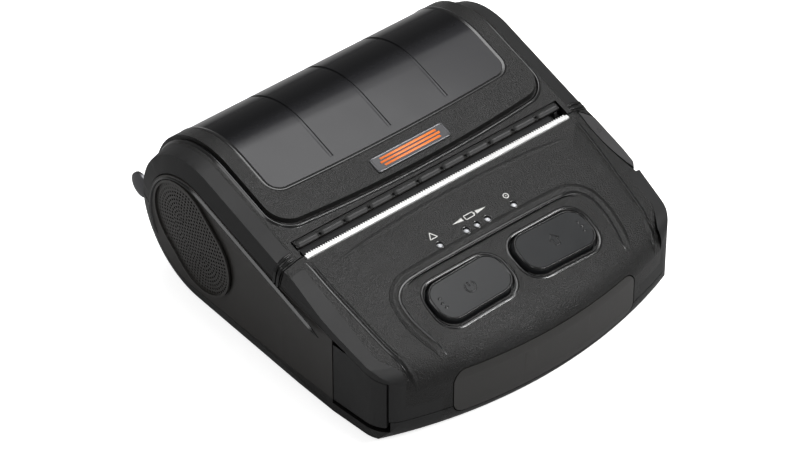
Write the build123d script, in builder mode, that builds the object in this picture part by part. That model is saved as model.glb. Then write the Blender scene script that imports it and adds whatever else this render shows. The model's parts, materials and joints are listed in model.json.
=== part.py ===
# Portable label printer with a hinged lid over its roll bay.
# Millimetres, +Z up, +X to the right of someone facing the button panel, +Y to the back.
# The origin is on the resting plane, under the middle of the overall box.
import os
from math import asin, atan2, cos, degrees, hypot, pi, radians, sin, sqrt, tan

from build123d import *

os.makedirs("parts", exist_ok=True)

# Media and roll
media_width = 112.0
roll_radius = 28.5
roll_clearance = 0.5
wall = 2.5
shell_radius = roll_radius + roll_clearance + wall

# Overall body
foot_height = 2.5
roll_y = 36.25
roll_z = foot_height + shell_radius
front_y = -75.75
front_bow_radius = 180.0
front_corner_radius = 12.0
half_width = 70.3
widest_y = 43.0
half_width_at_tear = 69.4
half_width_at_port = 68.2
half_width_at_front = 66.0
front_end_y = -63.1
keel_height = 3.0
shoulder_start = 61.5
crest_x = 67.8
crest_drop = 1.7
shoulder_x = 69.8
shoulder_drop = 8.0
seam_gap = 0.35

# Side profile: the exit lip, the tear line and the button panel
lip_y = -10.05
lip_z = 53.5
tear_y = -14.25
panel_mid_y = -34.6
panel_mid_z = 48.05
panel_front_y = -55.0
panel_front_z = 42.3
panel_end_angle = 18.0
panel_nose_angle = 22.0
nose_sink = 0.1
nose_length = 27.0
nose_radius = 14.0

# Hinge bar behind the body
hinge_y = 70.75
hinge_z = 32.0
hinge_rod_radius = 2.0
hinge_barrel_radius = 3.8
hinge_running_gap = 0.05
hinge_cap_radius = 5.0
hinge_cap_thickness = 2.0
hinge_half_length = 66.5
lid_knuckle = (30.0, 44.0)
base_knuckle = (53.0, 60.0)
lid_seam_z = 33.0
base_seam_z = 32.6

# Lid details
raised_height = 2.0
raised_half_width = 59.3
raised_front_y = -4.2
raised_front_sag = 3.0
raised_low_z = 44.0
window_half_width = 53.0
window_front_y = 9.0
window_front_sag = 1.4
window_low_z = 47.0
window_ledge = 2.5
window_groove_pitch = 25.7
window_groove_width = 1.2
window_groove_depth = 0.4
window_groove_start_y = 12.4
badge_size = (32.5, 6.4, 1.0)
badge_y = 1.3
rail_inner_x = 62.3
rail_thickness = 1.4
rail_end_gap = 3.4
rail_restart_y = -42.6

# Exit lip and tear bar
tear_half_length = 58.8
tear_width = 2.5
tear_thickness = 0.8
tooth_count = 113
tooth_depth = 0.9
lip_depth = 3.0
lip_thickness = 1.5
lip_notches = 10
lip_notch_pitch = 10.79
lip_notch_width = 0.8

# Print mechanism
platen_y = -7.2
platen_z = 44.4
platen_radius = 5.0
platen_half_length = 56.2
platen_shaft_radius = 2.0
bush_radius = 3.5
bush_flange_radius = 4.5
bush_inner_x = 57.2
bush_outer_x = 60.6
shaft_gap = 0.05
gear_module = 0.6
platen_teeth = 16
idler_teeth = 36
pinion_teeth = 12
gear_backlash = 0.1
gear_x = (-64.6, -62.6)
pinion_angle = 220.0
stud_radius = 1.5
motor_radius = 10.0
motor_x = (-60.9, -43.0)
motor_shaft_radius = 1.2
ear_radius = 5.0
ear_thickness = 1.3
carrier_y = (-1.0, 7.0)
carrier_low_z = 50.6
frame_x = 61.0
frame_thickness = 1.2
frame_y = (-42.0, -4.0)
frame_foot_z = 9.0
frame_foot_y = ((-41.5, -34.0), (-10.5, -6.5))
frame_back_y = -21.6
head_face_gap = 0.05
head_low_z = 36.6
head_top_z = 48.5
head_half_length = 56.4
ceramic_thickness = 1.0
heat_sink_thickness = 3.0
head_pivot_y = -14.8
head_pivot_z = 34.2
head_pin_radius = 1.2
head_barrel_radius = 2.2
spring_x = 35.0
spring_thickness = 0.4
latch_y = -36.0
latch_z = 37.4
latch_radius = 2.0
latch_hub_radius = 3.2
latch_gap = 0.15
lever_swing = 1.4
lever_front_y = -38.0
lever_stem_x = (65.6, 66.9)
hook_x = (59.0, 60.4)
hook_nose_angle = 15.0

# Panel controls
button_x = 18.9
button_y = -53.3
button_size = (31.4, 16.4)
button_corner = 6.4
button_gap = 0.9
button_height = 4.3
button_roll = 2.5
button_proud = 0.9
button_flange = 0.9
button_travel = 0.8
field_depth = 0.8
field_half_width = 41.0
field_back_y = -40.5
led_y = -34.6
led_x = (-16.57, -4.71, 0.0, 4.71, 16.57)
led_radius = 1.1
board_thickness = 1.4
board_low = -8.2
button_tilt = 18.7
board_boss_x = 40.0
board_boss_y = 8.6
lamp_boss_x = 10.6
lamp_board_z = (43.2, 44.4)
lamp_board_y = (-38.0, -31.2)
main_board_z = (28.0, 29.4)
board_posts = ((-46.0, -58.0), (-46.0, -48.0), (46.0, -58.0), (46.0, -28.0))
board_post_radius = 2.4
board_screw_radius = 1.0
jack_y = -50.0
jack_z = 23.2
jack_bore_radius = 3.2
data_port_y = -58.6

# Battery and front plate
plate_half_width = 40.6
plate_z = (9.6, 28.4)
plate_gap = 0.45
plate_corner = 5.0
battery_half_width = 38.6
battery_z = (9.8, 25.8)
battery_end_y = -18.0
battery_edge_radius = 3.0
battery_rail_x = (30.0, 34.0)

# Side openings
grille_centre = (31.7, 33.9)
grille_tilt = 40.0
grille_half_straight = 5.8
grille_radius = 14.0
port_y = (-63.4, -40.4)
port_low_z = 9.4
port_top_z = 36.0
port_pivot_x = 68.6
port_neck = 1.2
port_neck_length = 5.0
side_start_x = 58.0
side_inner_x = 64.5
side_seat_gap = 0.3
inner_wall = 1.2
inner_wall_x = 62.6
front_seam_z = 13.8
grille_x = (67.6, 69.5)
grille_rings = 5
grille_ring_step = 2.8
grille_pitch = 4.2
grille_hole_radius = 1.0

# Fasteners and feet
screw_x = 56.0
screw_y = (-50.0, 46.0)
screw_radius = 1.25
screw_head_radius = 2.5
screw_head_height = 1.8
screw_boss_radius = 3.4
screw_boss_top = 14.0
foot_x = 44.0
foot_y = (-48.0, 33.0)
foot_radius = 5.0

# Media guides
guide_open_x = 57.4
guide_plate = 2.0
guide_radius = 15.0
guide_rod_y = 11.0
guide_rod_z = 10.2
guide_rod_radius = 2.0
guide_barrel_radius = 3.2
guide_barrel_length = 7.0
guide_arm_width = 6.0
guide_hub_radius = 5.5
rack_module = 1.0
guide_teeth = 10
rack_z = (5.2, 6.6)
rack_back = 2.75
guide_pinion_y = 4.6
guide_post_radius = 1.5
liner_thickness = 1.2
liner_gap = 0.9
liner_top_angle = 174.0
liner_foot_angle = 251.0
liner_wall_x = (58.5, 60.0)
liner_wall_top = 40.0
deck_front_y = -10.8
deck_z = (35.6, 37.2)

lid_slope = atan2(roll_z - lip_z, roll_y - lip_y) + asin(shell_radius / hypot(roll_z - lip_z, roll_y - lip_y))
tear_z = lip_z - (lip_y - tear_y) * tan(lid_slope)
panel_slope = atan2(panel_mid_z - panel_front_z, panel_mid_y - panel_front_y)
split_y = tear_y + 0.6
floor_z = foot_height + wall
nip_y = platen_y - platen_radius - head_face_gap
head_back_y = nip_y - ceramic_thickness - heat_sink_thickness
idler_angle = 180 + degrees(atan2(hinge_y - platen_y, platen_z - hinge_z))
half = 90.0


def write(piece, name):
    """Label a finished piece and write it to its own file."""
    piece.part.label = name
    export_step(piece.part, f"parts/{name}.step")


def block(x, y, z, mode=Mode.ADD):
    """Box between the lowest and highest x, y and z."""
    with Locations((sum(x) / 2, sum(y) / 2, sum(z) / 2)):
        Box(x[1] - x[0], y[1] - y[0], z[1] - z[0], mode=mode)


def shaft(x, y, z, radius, mode=Mode.ADD):
    """Round bar along X between two x values."""
    with Locations(Location((sum(x) / 2, y, z), (0, 90, 0))):
        Cylinder(radius, x[1] - x[0], mode=mode)


def post(x, y, z, radius, mode=Mode.ADD):
    """Round bar along Z between two heights."""
    with Locations((x, y, sum(z) / 2)):
        Cylinder(radius, z[1] - z[0], mode=mode)


def side_face(x, inset):
    """Outline of the body seen from the side, drawn in by inset."""
    top = (roll_y - shell_radius * sin(lid_slope), roll_z + shell_radius * cos(lid_slope))
    nose = (panel_front_y - nose_length, panel_front_z - nose_length * tan(radians(panel_end_angle)))
    with BuildSketch(Plane.YZ.offset(x)) as face:
        with BuildLine():
            Line((nose[0], foot_height), (roll_y, foot_height))
            ThreePointArc((roll_y, foot_height), (roll_y + shell_radius, roll_z), top)
            Line(top, (tear_y, tear_z))
            ThreePointArc((tear_y, tear_z), (panel_mid_y, panel_mid_z), (panel_front_y, panel_front_z))
            Polyline((panel_front_y, panel_front_z), nose, (nose[0], foot_height))
        make_face()
        if inset:
            offset(amount=-inset, kind=Kind.INTERSECTION)
    return face.sketch


def plan_face(z, inset):
    """Outline of the body seen from above: bowed front, sides that narrow to the front."""
    side_line = [(half_width_at_front, front_end_y), (half_width_at_port, port_y[1]),
                 (half_width_at_tear, tear_y), (half_width, widest_y), (half_width, half)]
    with BuildSketch(Plane.XY.offset(z)) as face:
        with BuildLine():
            ThreePointArc((-half_width_at_front, front_end_y), (0, front_y), side_line[0])
            Polyline(*side_line, *[(-x, y) for x, y in reversed(side_line)])
        make_face()
        fillet(face.vertices().group_by(Axis.Y)[0], front_corner_radius)
        if inset:
            offset(amount=-inset, kind=Kind.INTERSECTION)
    return face.sketch


def nose_dome(inset):
    """Disc about the bow's centre whose rim rolls from the panel's slope down to the front wall."""
    centre_y = front_y + front_bow_radius
    rise = tan(radians(panel_nose_angle))
    rim_z = panel_front_z - nose_sink - (panel_front_y - front_y) * rise
    with BuildPart() as dome:
        with BuildSketch(Plane.YZ) as face:
            with BuildLine():
                Polyline((centre_y, 0), (front_y, 0), (front_y, rim_z),
                         (centre_y, rim_z + front_bow_radius * rise), (centre_y, 0))
            make_face()
            fillet(face.vertices().sort_by_distance((0, front_y, rim_z))[0], nose_radius)
            if inset:
                offset(amount=-inset, kind=Kind.INTERSECTION)
        revolve(axis=Axis((0, centre_y, 0), (0, 0, 1)))
    return dome.part


def crown_z(x, y):
    """Height of the rolled front's cone over a point of the plan."""
    reach = hypot(x, y - front_y - front_bow_radius)
    front_z = panel_front_z - nose_sink - (panel_front_y - front_y) * tan(radians(panel_nose_angle))
    return front_z + (front_bow_radius - reach) * tan(radians(panel_nose_angle))


def hull(inset):
    """Whole outer body, drawn in by inset: crowned shoulders, bowed plan and a chamfered keel."""
    crown = atan2(crest_drop, crest_x - shoulder_start)
    fall = atan2(shoulder_drop - crest_drop, shoulder_x - crest_x)
    crest_mid = (crown + fall) / 2
    crest_grow = inset / cos((fall - crown) / 2)
    stations = ((shoulder_start - inset * tan(crown / 2), inset),
                (crest_x - crest_grow * sin(crest_mid), crest_drop + crest_grow * cos(crest_mid)),
                (shoulder_x - inset * sin(fall), shoulder_drop + inset * cos(fall)))
    with BuildPart() as outline:
        loft([plan_face(foot_height + inset, keel_height + inset),
              plan_face(foot_height + inset + keel_height, inset)], ruled=True)
        extrude(plan_face(foot_height + inset + keel_height, inset), amount=half)
    with BuildPart() as body:
        extrude(side_face(-stations[0][0], stations[0][1]), amount=2 * stations[0][0])
        for side in (-1, 1):
            for near, far in zip(stations, stations[1:]):
                loft([side_face(side * near[0], near[1]), side_face(side * far[0], far[1])], ruled=True)
            extrude(side_face(side * stations[-1][0], stations[-1][1]), amount=side * half / 3)
        add(outline.part, mode=Mode.INTERSECT)
        add(nose_dome(inset), mode=Mode.INTERSECT)
    return body.part


def side_prism(inset, x=(-half, half)):
    """Bar along X with the body's side outline, drawn in by inset."""
    with BuildPart() as bar:
        extrude(side_face(x[0], inset), amount=x[1] - x[0])
    return bar.part


def lid_outline(half_x, front, sag, corner, low, high=half):
    """Upright prism over the lid: straight sides, bowed front edge with rounded corners."""
    with BuildPart() as prism:
        with BuildSketch(Plane.XY.offset(low)) as face:
            with BuildLine():
                ThreePointArc((-half_x, front + sag), (0, front), (half_x, front + sag))
                Polyline((half_x, front + sag), (half_x, half), (-half_x, half), (-half_x, front + sag))
            make_face()
            fillet(face.vertices().group_by(Axis.Y)[0], corner)
        extrude(amount=high - low)
    return prism.part


def hinge_cap_room():
    """Clear the hinge bar's caps out of the casing beside them."""
    low = hinge_half_length - hinge_cap_thickness - seam_gap
    for span in ((-hinge_half_length - 1, -low), (low, hinge_half_length + 1)):
        shaft(span, hinge_y, hinge_z, hinge_cap_radius + seam_gap, mode=Mode.SUBTRACT)


def gear_face(plane, centre, teeth, start_angle, module=gear_module, thin=0.42):
    """Spur gear outline: straight-flanked teeth, a little thinner than half the pitch."""
    pitch_r = teeth * module / 2
    tip_r = pitch_r + 0.85 * module
    root_r = pitch_r - 1.15 * module
    step = 360.0 / teeth
    points = []
    for n in range(teeth):
        middle = start_angle + n * step
        for radius, share in ((root_r, -thin * 0.82), (tip_r, -thin * 0.25), (tip_r, thin * 0.25), (root_r, thin * 0.82)):
            angle = radians(middle + share * step)
            points.append((centre[0] + radius * cos(angle), centre[1] + radius * sin(angle)))
    with BuildSketch(plane) as face:
        with BuildLine():
            Polyline(*points, close=True)
        make_face()
    return face.sketch


outer_body = hull(0)
inner_body = hull(wall)
seat_body = hull(wall + side_seat_gap)
rail_body = hull(rail_thickness)
with BuildPart() as skin:
    add(outer_body)
    add(inner_body, mode=Mode.SUBTRACT)
with BuildPart() as outer_layer:
    add(outer_body)
    add(rail_body, mode=Mode.SUBTRACT)
shoulder_line = side_prism(shoulder_drop)
panel_line = side_prism(shoulder_drop + seam_gap)
right_front_span = ((side_start_x, half), (port_y[0], port_y[1] + seam_gap + 0.01), (foot_height + 3.5, half))
with BuildPart() as right_front_zone:
    add(panel_line)
    block(*right_front_span, mode=Mode.INTERSECT)
with BuildPart() as right_front_skin:
    add(skin.part)
    block(*right_front_span, mode=Mode.INTERSECT)
    add(panel_line, mode=Mode.INTERSECT)
with BuildPart() as side_zone:
    add(panel_line)
    block((-half, half), (port_y[1] + seam_gap, half), (foot_height + 3.5, half), mode=Mode.INTERSECT)
    block((-side_inner_x, side_inner_x), (-half, half), (0, half), mode=Mode.SUBTRACT)
with BuildPart() as side_skin:
    add(skin.part)
    add(side_zone.part, mode=Mode.INTERSECT)

# Battery pack with its bowed front plate
with BuildPart() as plate_zone:
    with BuildSketch(Plane.XZ.offset(50)):
        with Locations((0, sum(plate_z) / 2)):
            RectangleRounded(2 * plate_half_width, plate_z[1] - plate_z[0], plate_corner)
    extrude(amount=50)
with BuildPart() as plate_opening:
    with BuildSketch(Plane.XZ.offset(50)):
        with Locations((0, sum(plate_z) / 2)):
            RectangleRounded(2 * (plate_half_width + plate_gap), plate_z[1] - plate_z[0] + 2 * plate_gap,
                             plate_corner + plate_gap)
    extrude(amount=50)
with BuildPart() as battery_pack:
    add(skin.part)
    add(plate_zone.part, mode=Mode.INTERSECT)
    with BuildPart(mode=Mode.PRIVATE) as cell_case:
        with BuildSketch(Plane.XZ.offset(-battery_end_y)):
            with Locations((0, sum(battery_z) / 2)):
                RectangleRounded(2 * battery_half_width, battery_z[1] - battery_z[0], battery_edge_radius)
        extrude(amount=battery_end_y - front_y)
        add(rail_body, mode=Mode.INTERSECT)
    add(cell_case.part)
    block((-12, 12), (battery_end_y - 1.2, battery_end_y), (14, 20), mode=Mode.SUBTRACT)
write(battery_pack, "battery_pack")

# Release lever leaf on the right shoulder
def lever_leaf(grow, ahead=0.0):
    """Upright prism over the lever's leaf outline, grown by the gap round it and by its swing ahead."""
    with BuildPart() as prism:
        with BuildSketch(Plane.XY.offset(36)):
            with BuildLine():
                ThreePointArc((63.8, -14.6), (70.6, -25.0), (66.8, -41.0 - ahead))
                ThreePointArc((66.8, -41.0 - ahead), (63.6, -29.0), (63.8, -14.6))
            make_face()
            if grow:
                offset(amount=grow, kind=Kind.ARC)
        extrude(amount=24)
    return prism.part

with BuildPart() as release_lever:
    add(skin.part)
    add(lever_leaf(0), mode=Mode.INTERSECT)
    add(shoulder_line, mode=Mode.SUBTRACT)
    with Locations((70.6, -19.5, 46), (71.0, -24.0, 45), (70.8, -28.5, 44)):
        Cylinder(1.6, 24, mode=Mode.SUBTRACT)
    with BuildPart(mode=Mode.PRIVATE) as stem:
        block(lever_stem_x, (latch_y - 2.4, latch_y + 5.0), (latch_z - 2.5, latch_z + 9.6))
        add(outer_body, mode=Mode.INTERSECT)
    add(stem.part)
    shaft(lever_stem_x, latch_y, latch_z, latch_hub_radius)
    shaft(lever_stem_x, latch_y, latch_z, latch_radius + shaft_gap, mode=Mode.SUBTRACT)
write(release_lever, "release_lever")

# Rubber rails on the shoulders of the lid and of the front cover
with BuildPart() as lid_zone:
    block((-half, half), (split_y, half), (lid_seam_z, half))
    add(shoulder_line, mode=Mode.SUBTRACT)
with BuildPart() as front_zone:
    block((-half, half), (-half, tear_y + 0.2), (front_seam_z, half))
    with BuildPart(mode=Mode.PRIVATE) as below_shoulder:
        add(shoulder_line)
        block((-half, half), (port_y[0], half), (0, half), mode=Mode.INTERSECT)
        block((-side_start_x, side_start_x), (-half, half), (0, half), mode=Mode.SUBTRACT)
    add(below_shoulder.part, mode=Mode.SUBTRACT)
with BuildPart() as corner_zone:
    with BuildSketch(Plane.XY):
        with BuildLine():
            Polyline((rail_inner_x, tear_y - rail_end_gap), (rail_inner_x, -56), (57.5, -64), (57.5, -half),
                     (half, -half), (half, tear_y - rail_end_gap), close=True)
        make_face()
    extrude(amount=half)
    block((44.7, 60), (-half, -60), (0, 19.4))
    mirror(about=Plane.YZ)

with BuildPart() as both_lid_rails:
    add(outer_layer.part)
    add(lid_zone.part, mode=Mode.INTERSECT)
    block((-half, half), (-half, split_y + rail_end_gap), (0, half), mode=Mode.SUBTRACT)
    block((-rail_inner_x, rail_inner_x), (-half, half), (0, half), mode=Mode.SUBTRACT)
with BuildPart() as both_front_rails:
    add(outer_layer.part)
    add(front_zone.part, mode=Mode.INTERSECT)
    add(corner_zone.part, mode=Mode.INTERSECT)
    block((0, half), (rail_restart_y, half), (0, half), mode=Mode.SUBTRACT)
with BuildPart() as both_bumpers:
    add(outer_layer.part)
    add(corner_zone.part, mode=Mode.INTERSECT)
    block((-half, half), (-half, port_y[0] - seam_gap), (foot_height + 0.6, front_seam_z - seam_gap), mode=Mode.INTERSECT)
for name, pair in (("lid_rail", both_lid_rails), ("front_rail", both_front_rails), ("corner_bumper", both_bumpers)):
    for side, word in ((-1, "left"), (1, "right")):
        with BuildPart() as rail:
            add(pair.part)
            block(sorted((0, side * half)), (-half, half), (0, half), mode=Mode.INTERSECT)
            hinge_cap_room()
        write(rail, f"{name}_{word}")

# Lid shell with its raised panel, window seat and hinge knuckles
with BuildPart() as raised:
    add(side_prism(-raised_height, (-raised_half_width - 1, raised_half_width + 1)))
    add(side_prism(0.02), mode=Mode.SUBTRACT)
    add(lid_outline(raised_half_width, raised_front_y, raised_front_sag, 9, raised_low_z), mode=Mode.INTERSECT)
with BuildPart() as lid_window:
    add(side_prism(-raised_height + 0.1, (-window_half_width - 1, window_half_width + 1)))
    add(side_prism(-0.1), mode=Mode.SUBTRACT)
    add(lid_outline(window_half_width, window_front_y, window_front_sag, 6, window_low_z), mode=Mode.INTERSECT)
    with BuildPart(mode=Mode.PRIVATE) as groove:
        for n in (-1, 0, 1):
            x = n * window_groove_pitch
            extrude(side_face(x - window_groove_width / 2, -raised_height), amount=window_groove_width)
            extrude(side_face(x - window_groove_width, -raised_height + window_groove_depth + 0.1),
                    amount=2 * window_groove_width, mode=Mode.SUBTRACT)
        block((-half, half), (window_groove_start_y, half), (window_low_z, half), mode=Mode.INTERSECT)
    add(groove.part, mode=Mode.SUBTRACT)
write(lid_window, "lid_window")

with BuildPart() as lid_shell:
    add(skin.part)
    add(lid_zone.part, mode=Mode.INTERSECT)
    add(both_lid_rails.part, mode=Mode.SUBTRACT)
    block((-tear_half_length - 0.8, tear_half_length + 0.8), (-half, lip_y + lip_depth), (0, half), mode=Mode.SUBTRACT)
    add(raised.part)
    with BuildPart(mode=Mode.PRIVATE) as window_seat:
        add(side_prism(-raised_height - 1, (-window_half_width - 1, window_half_width + 1)))
        add(side_prism(0.0), mode=Mode.SUBTRACT)
        add(lid_outline(window_half_width + 0.15, window_front_y - 0.15, window_front_sag, 6.1, window_low_z - 0.15),
            mode=Mode.INTERSECT)
    add(window_seat.part, mode=Mode.SUBTRACT)
    with BuildPart(mode=Mode.PRIVATE) as window_light:
        add(lid_outline(window_half_width - window_ledge, window_front_y + window_ledge, window_front_sag, 5,
                        window_low_z + window_ledge))
    add(window_light.part, mode=Mode.SUBTRACT)
    shaft((gear_x[0] - 0.5, gear_x[1] + 0.5), platen_y, platen_z, (platen_teeth / 2 + 0.85) * gear_module + 0.4,
          mode=Mode.SUBTRACT)
    hinge_cap_room()
    for side in (-1, 1):
        span = sorted((side * lid_knuckle[0], side * lid_knuckle[1]))
        base_span = sorted((side * (base_knuckle[0] - 0.4), side * (base_knuckle[1] + 0.4)))
        shaft(span, hinge_y, hinge_z, hinge_barrel_radius)
        block(span, (hinge_y - 5.2, hinge_y), (lid_seam_z, hinge_z + hinge_barrel_radius - 0.3))
        shaft(base_span, hinge_y, hinge_z, hinge_barrel_radius + 0.4, mode=Mode.SUBTRACT)
    shaft((-half, half), hinge_y, hinge_z, hinge_rod_radius + hinge_running_gap, mode=Mode.SUBTRACT)
    add(inner_body, mode=Mode.SUBTRACT)
write(lid_shell, "lid_shell")

# Badge plate on the raised panel
badge_plane = Plane(origin=(0, badge_y, lip_z + (badge_y - lip_y) * tan(lid_slope) + raised_height / cos(lid_slope)),
                    x_dir=(1, 0, 0), z_dir=(0, -sin(lid_slope), cos(lid_slope)))
with BuildPart() as badge_plate:
    with BuildSketch(badge_plane):
        RectangleRounded(badge_size[0], badge_size[1], 0.8)
    extrude(amount=badge_size[2] / 2)
write(badge_plate, "badge_plate")

# Hinge bar with domed caps, also the strap bar
with BuildPart() as hinge_bar:
    shaft((-hinge_half_length, hinge_half_length), hinge_y, hinge_z, hinge_rod_radius)
    for side in (-1, 1):
        with BuildSketch(Plane.XY.offset(hinge_z)):
            with BuildLine():
                start = side * (hinge_half_length - hinge_cap_thickness)
                Polyline((start, hinge_y), (start, hinge_y + hinge_cap_radius),
                         (side * (hinge_half_length - 0.6), hinge_y + hinge_cap_radius),
                         (side * hinge_half_length, hinge_y + hinge_cap_radius / 2),
                         (side * hinge_half_length, hinge_y), close=True)
            make_face()
        revolve(axis=Axis((0, hinge_y, hinge_z), (1, 0, 0)))
write(hinge_bar, "hinge_bar")

# Exit lip with its row of notches, and the tear bar
with BuildPart() as exit_lip:
    block((-tear_half_length, tear_half_length), (lip_y, lip_y + lip_depth), (lip_z - lip_thickness, lip_z))
    fillet(exit_lip.edges().filter_by(Axis.X).sort_by(Axis.Y)[:2], 0.4)
    with Locations(*[((n - (lip_notches - 1) / 2) * lip_notch_pitch, lip_y, lip_z) for n in range(lip_notches)]):
        Box(lip_notch_width, 2.4, 0.8, mode=Mode.SUBTRACT)
    block((-tear_half_length, tear_half_length), (lip_y + 1.2, lip_y + lip_depth), (lip_z, lip_z + 0.4))
write(exit_lip, "exit_lip")

tooth_pitch = 2 * (tear_half_length - 0.8) / tooth_count
with BuildPart() as tear_bar:
    with BuildSketch(Plane.XY.offset(tear_z - 0.5)):
        with BuildLine():
            back = tear_y - tear_width / 2
            front = tear_y + tear_width / 2
            teeth = [(-tear_half_length, back), (-tear_half_length, front - tooth_depth)]
            for n in range(tooth_count):
                x = -tear_half_length + 0.8 + n * tooth_pitch
                teeth += [(x, front - tooth_depth), (x + tooth_pitch / 2, front)]
            teeth += [(tear_half_length - 0.8, front - tooth_depth), (tear_half_length, front - tooth_depth),
                      (tear_half_length, back)]
            Polyline(*teeth, close=True)
        make_face()
    extrude(amount=tear_thickness)
write(tear_bar, "tear_bar")

# Front cover with button wells, lamp holes and the tear bar's seat
panel_plane = Plane(origin=(0, button_y, panel_front_z + (button_y - panel_front_y) * tan(panel_slope)),
                    x_dir=(1, 0, 0), z_dir=(0, -sin(radians(button_tilt)), cos(radians(button_tilt))))


def button_plane(side):
    """Plane of one button: tilted with the panel and rolled outwards with its crown."""
    tilt = radians(button_tilt)
    roll = radians(button_roll)
    return Plane(origin=(side * button_x, button_y, crown_z(button_x, button_y)),
                 x_dir=(cos(roll), 0, -side * sin(roll)),
                 z_dir=(side * sin(roll) * cos(tilt), -cos(roll) * sin(tilt), cos(roll) * cos(tilt)))


def panel_shape(x, size, corner, low, high, y=0.0, plane=panel_plane):
    """Rounded block square to the panel, between two heights over it."""
    with BuildPart() as shape:
        with BuildSketch(plane.offset(low)):
            with Locations((x, y)):
                RectangleRounded(size[0], size[1], corner)
        extrude(amount=high - low)
    return shape.part


with BuildPart() as front_cover:
    add(skin.part)
    add(front_zone.part, mode=Mode.INTERSECT)
    add(both_front_rails.part, mode=Mode.SUBTRACT)
    add(plate_opening.part, mode=Mode.SUBTRACT)
    add(lever_leaf(0.5, lever_swing), mode=Mode.SUBTRACT)
    with BuildPart(mode=Mode.PRIVATE) as field:
        add(side_prism(0, (-field_half_width, field_half_width)))
        add(side_prism(field_depth), mode=Mode.SUBTRACT)
        with BuildPart(mode=Mode.PRIVATE) as field_outline:
            with BuildSketch():
                with Locations((0, field_back_y - field_half_width / 2)):
                    RectangleRounded(2 * field_half_width, field_half_width, 9)
            extrude(amount=half)
        add(field_outline.part, mode=Mode.INTERSECT)
    add(field.part, mode=Mode.SUBTRACT)
    well = (button_size[0] + 2 * button_gap, button_size[1] + 2 * button_gap)
    for side in (-1, 1):
        add(panel_shape(0, well, button_corner + button_gap, -6, 4, plane=button_plane(side)), mode=Mode.SUBTRACT)
    for x in led_x:
        post(x, led_y, (40, 54), led_radius + 0.15, mode=Mode.SUBTRACT)
    for x in (-board_boss_x, board_boss_x):
        for y in (-board_boss_y, board_boss_y):
            add(panel_shape(x, (3.6, 3.6), 1.7, board_low + board_thickness, -1.6, y))
    for x in (-lamp_boss_x, lamp_boss_x):
        block((x - 1.2, x + 1.2), (led_y + 1.0, led_y + 3.2), (lamp_board_z[1], panel_mid_z - wall / 2))
    block((lever_stem_x[0] + 1, half), (rail_restart_y, lever_front_y), (0, half), mode=Mode.SUBTRACT)
    block((-tear_half_length - 0.3, tear_half_length + 0.3), (tear_y - tear_width / 2 - 0.2, 0),
          (tear_z - 0.5, half), mode=Mode.SUBTRACT)
write(front_cover, "front_cover")


# Grille outline over the roll's end
grille_plane = Plane(origin=(0, grille_centre[0], grille_centre[1]),
                     x_dir=(0, cos(radians(grille_tilt)), sin(radians(grille_tilt))), z_dir=(1, 0, 0))


def grille_prism(grow):
    """Bar along X with the grille's rounded outline."""
    with BuildPart() as prism:
        with BuildSketch(grille_plane.offset(-half)):
            SlotCenterToCenter(2 * grille_half_straight, 2 * (grille_radius + grow))
        extrude(amount=2 * half)
    return prism.part


# Lower case: floor, lower walls, inner side walls, battery bay and rear knuckles
def screw_places():
    """Centres of the four case screws."""
    return [(x, y) for x in (-screw_x, screw_x) for y in screw_y]


with BuildPart() as port_zone:
    add(panel_line)
    block((-half, -side_start_x), port_y, (port_low_z, half), mode=Mode.INTERSECT)

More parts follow.
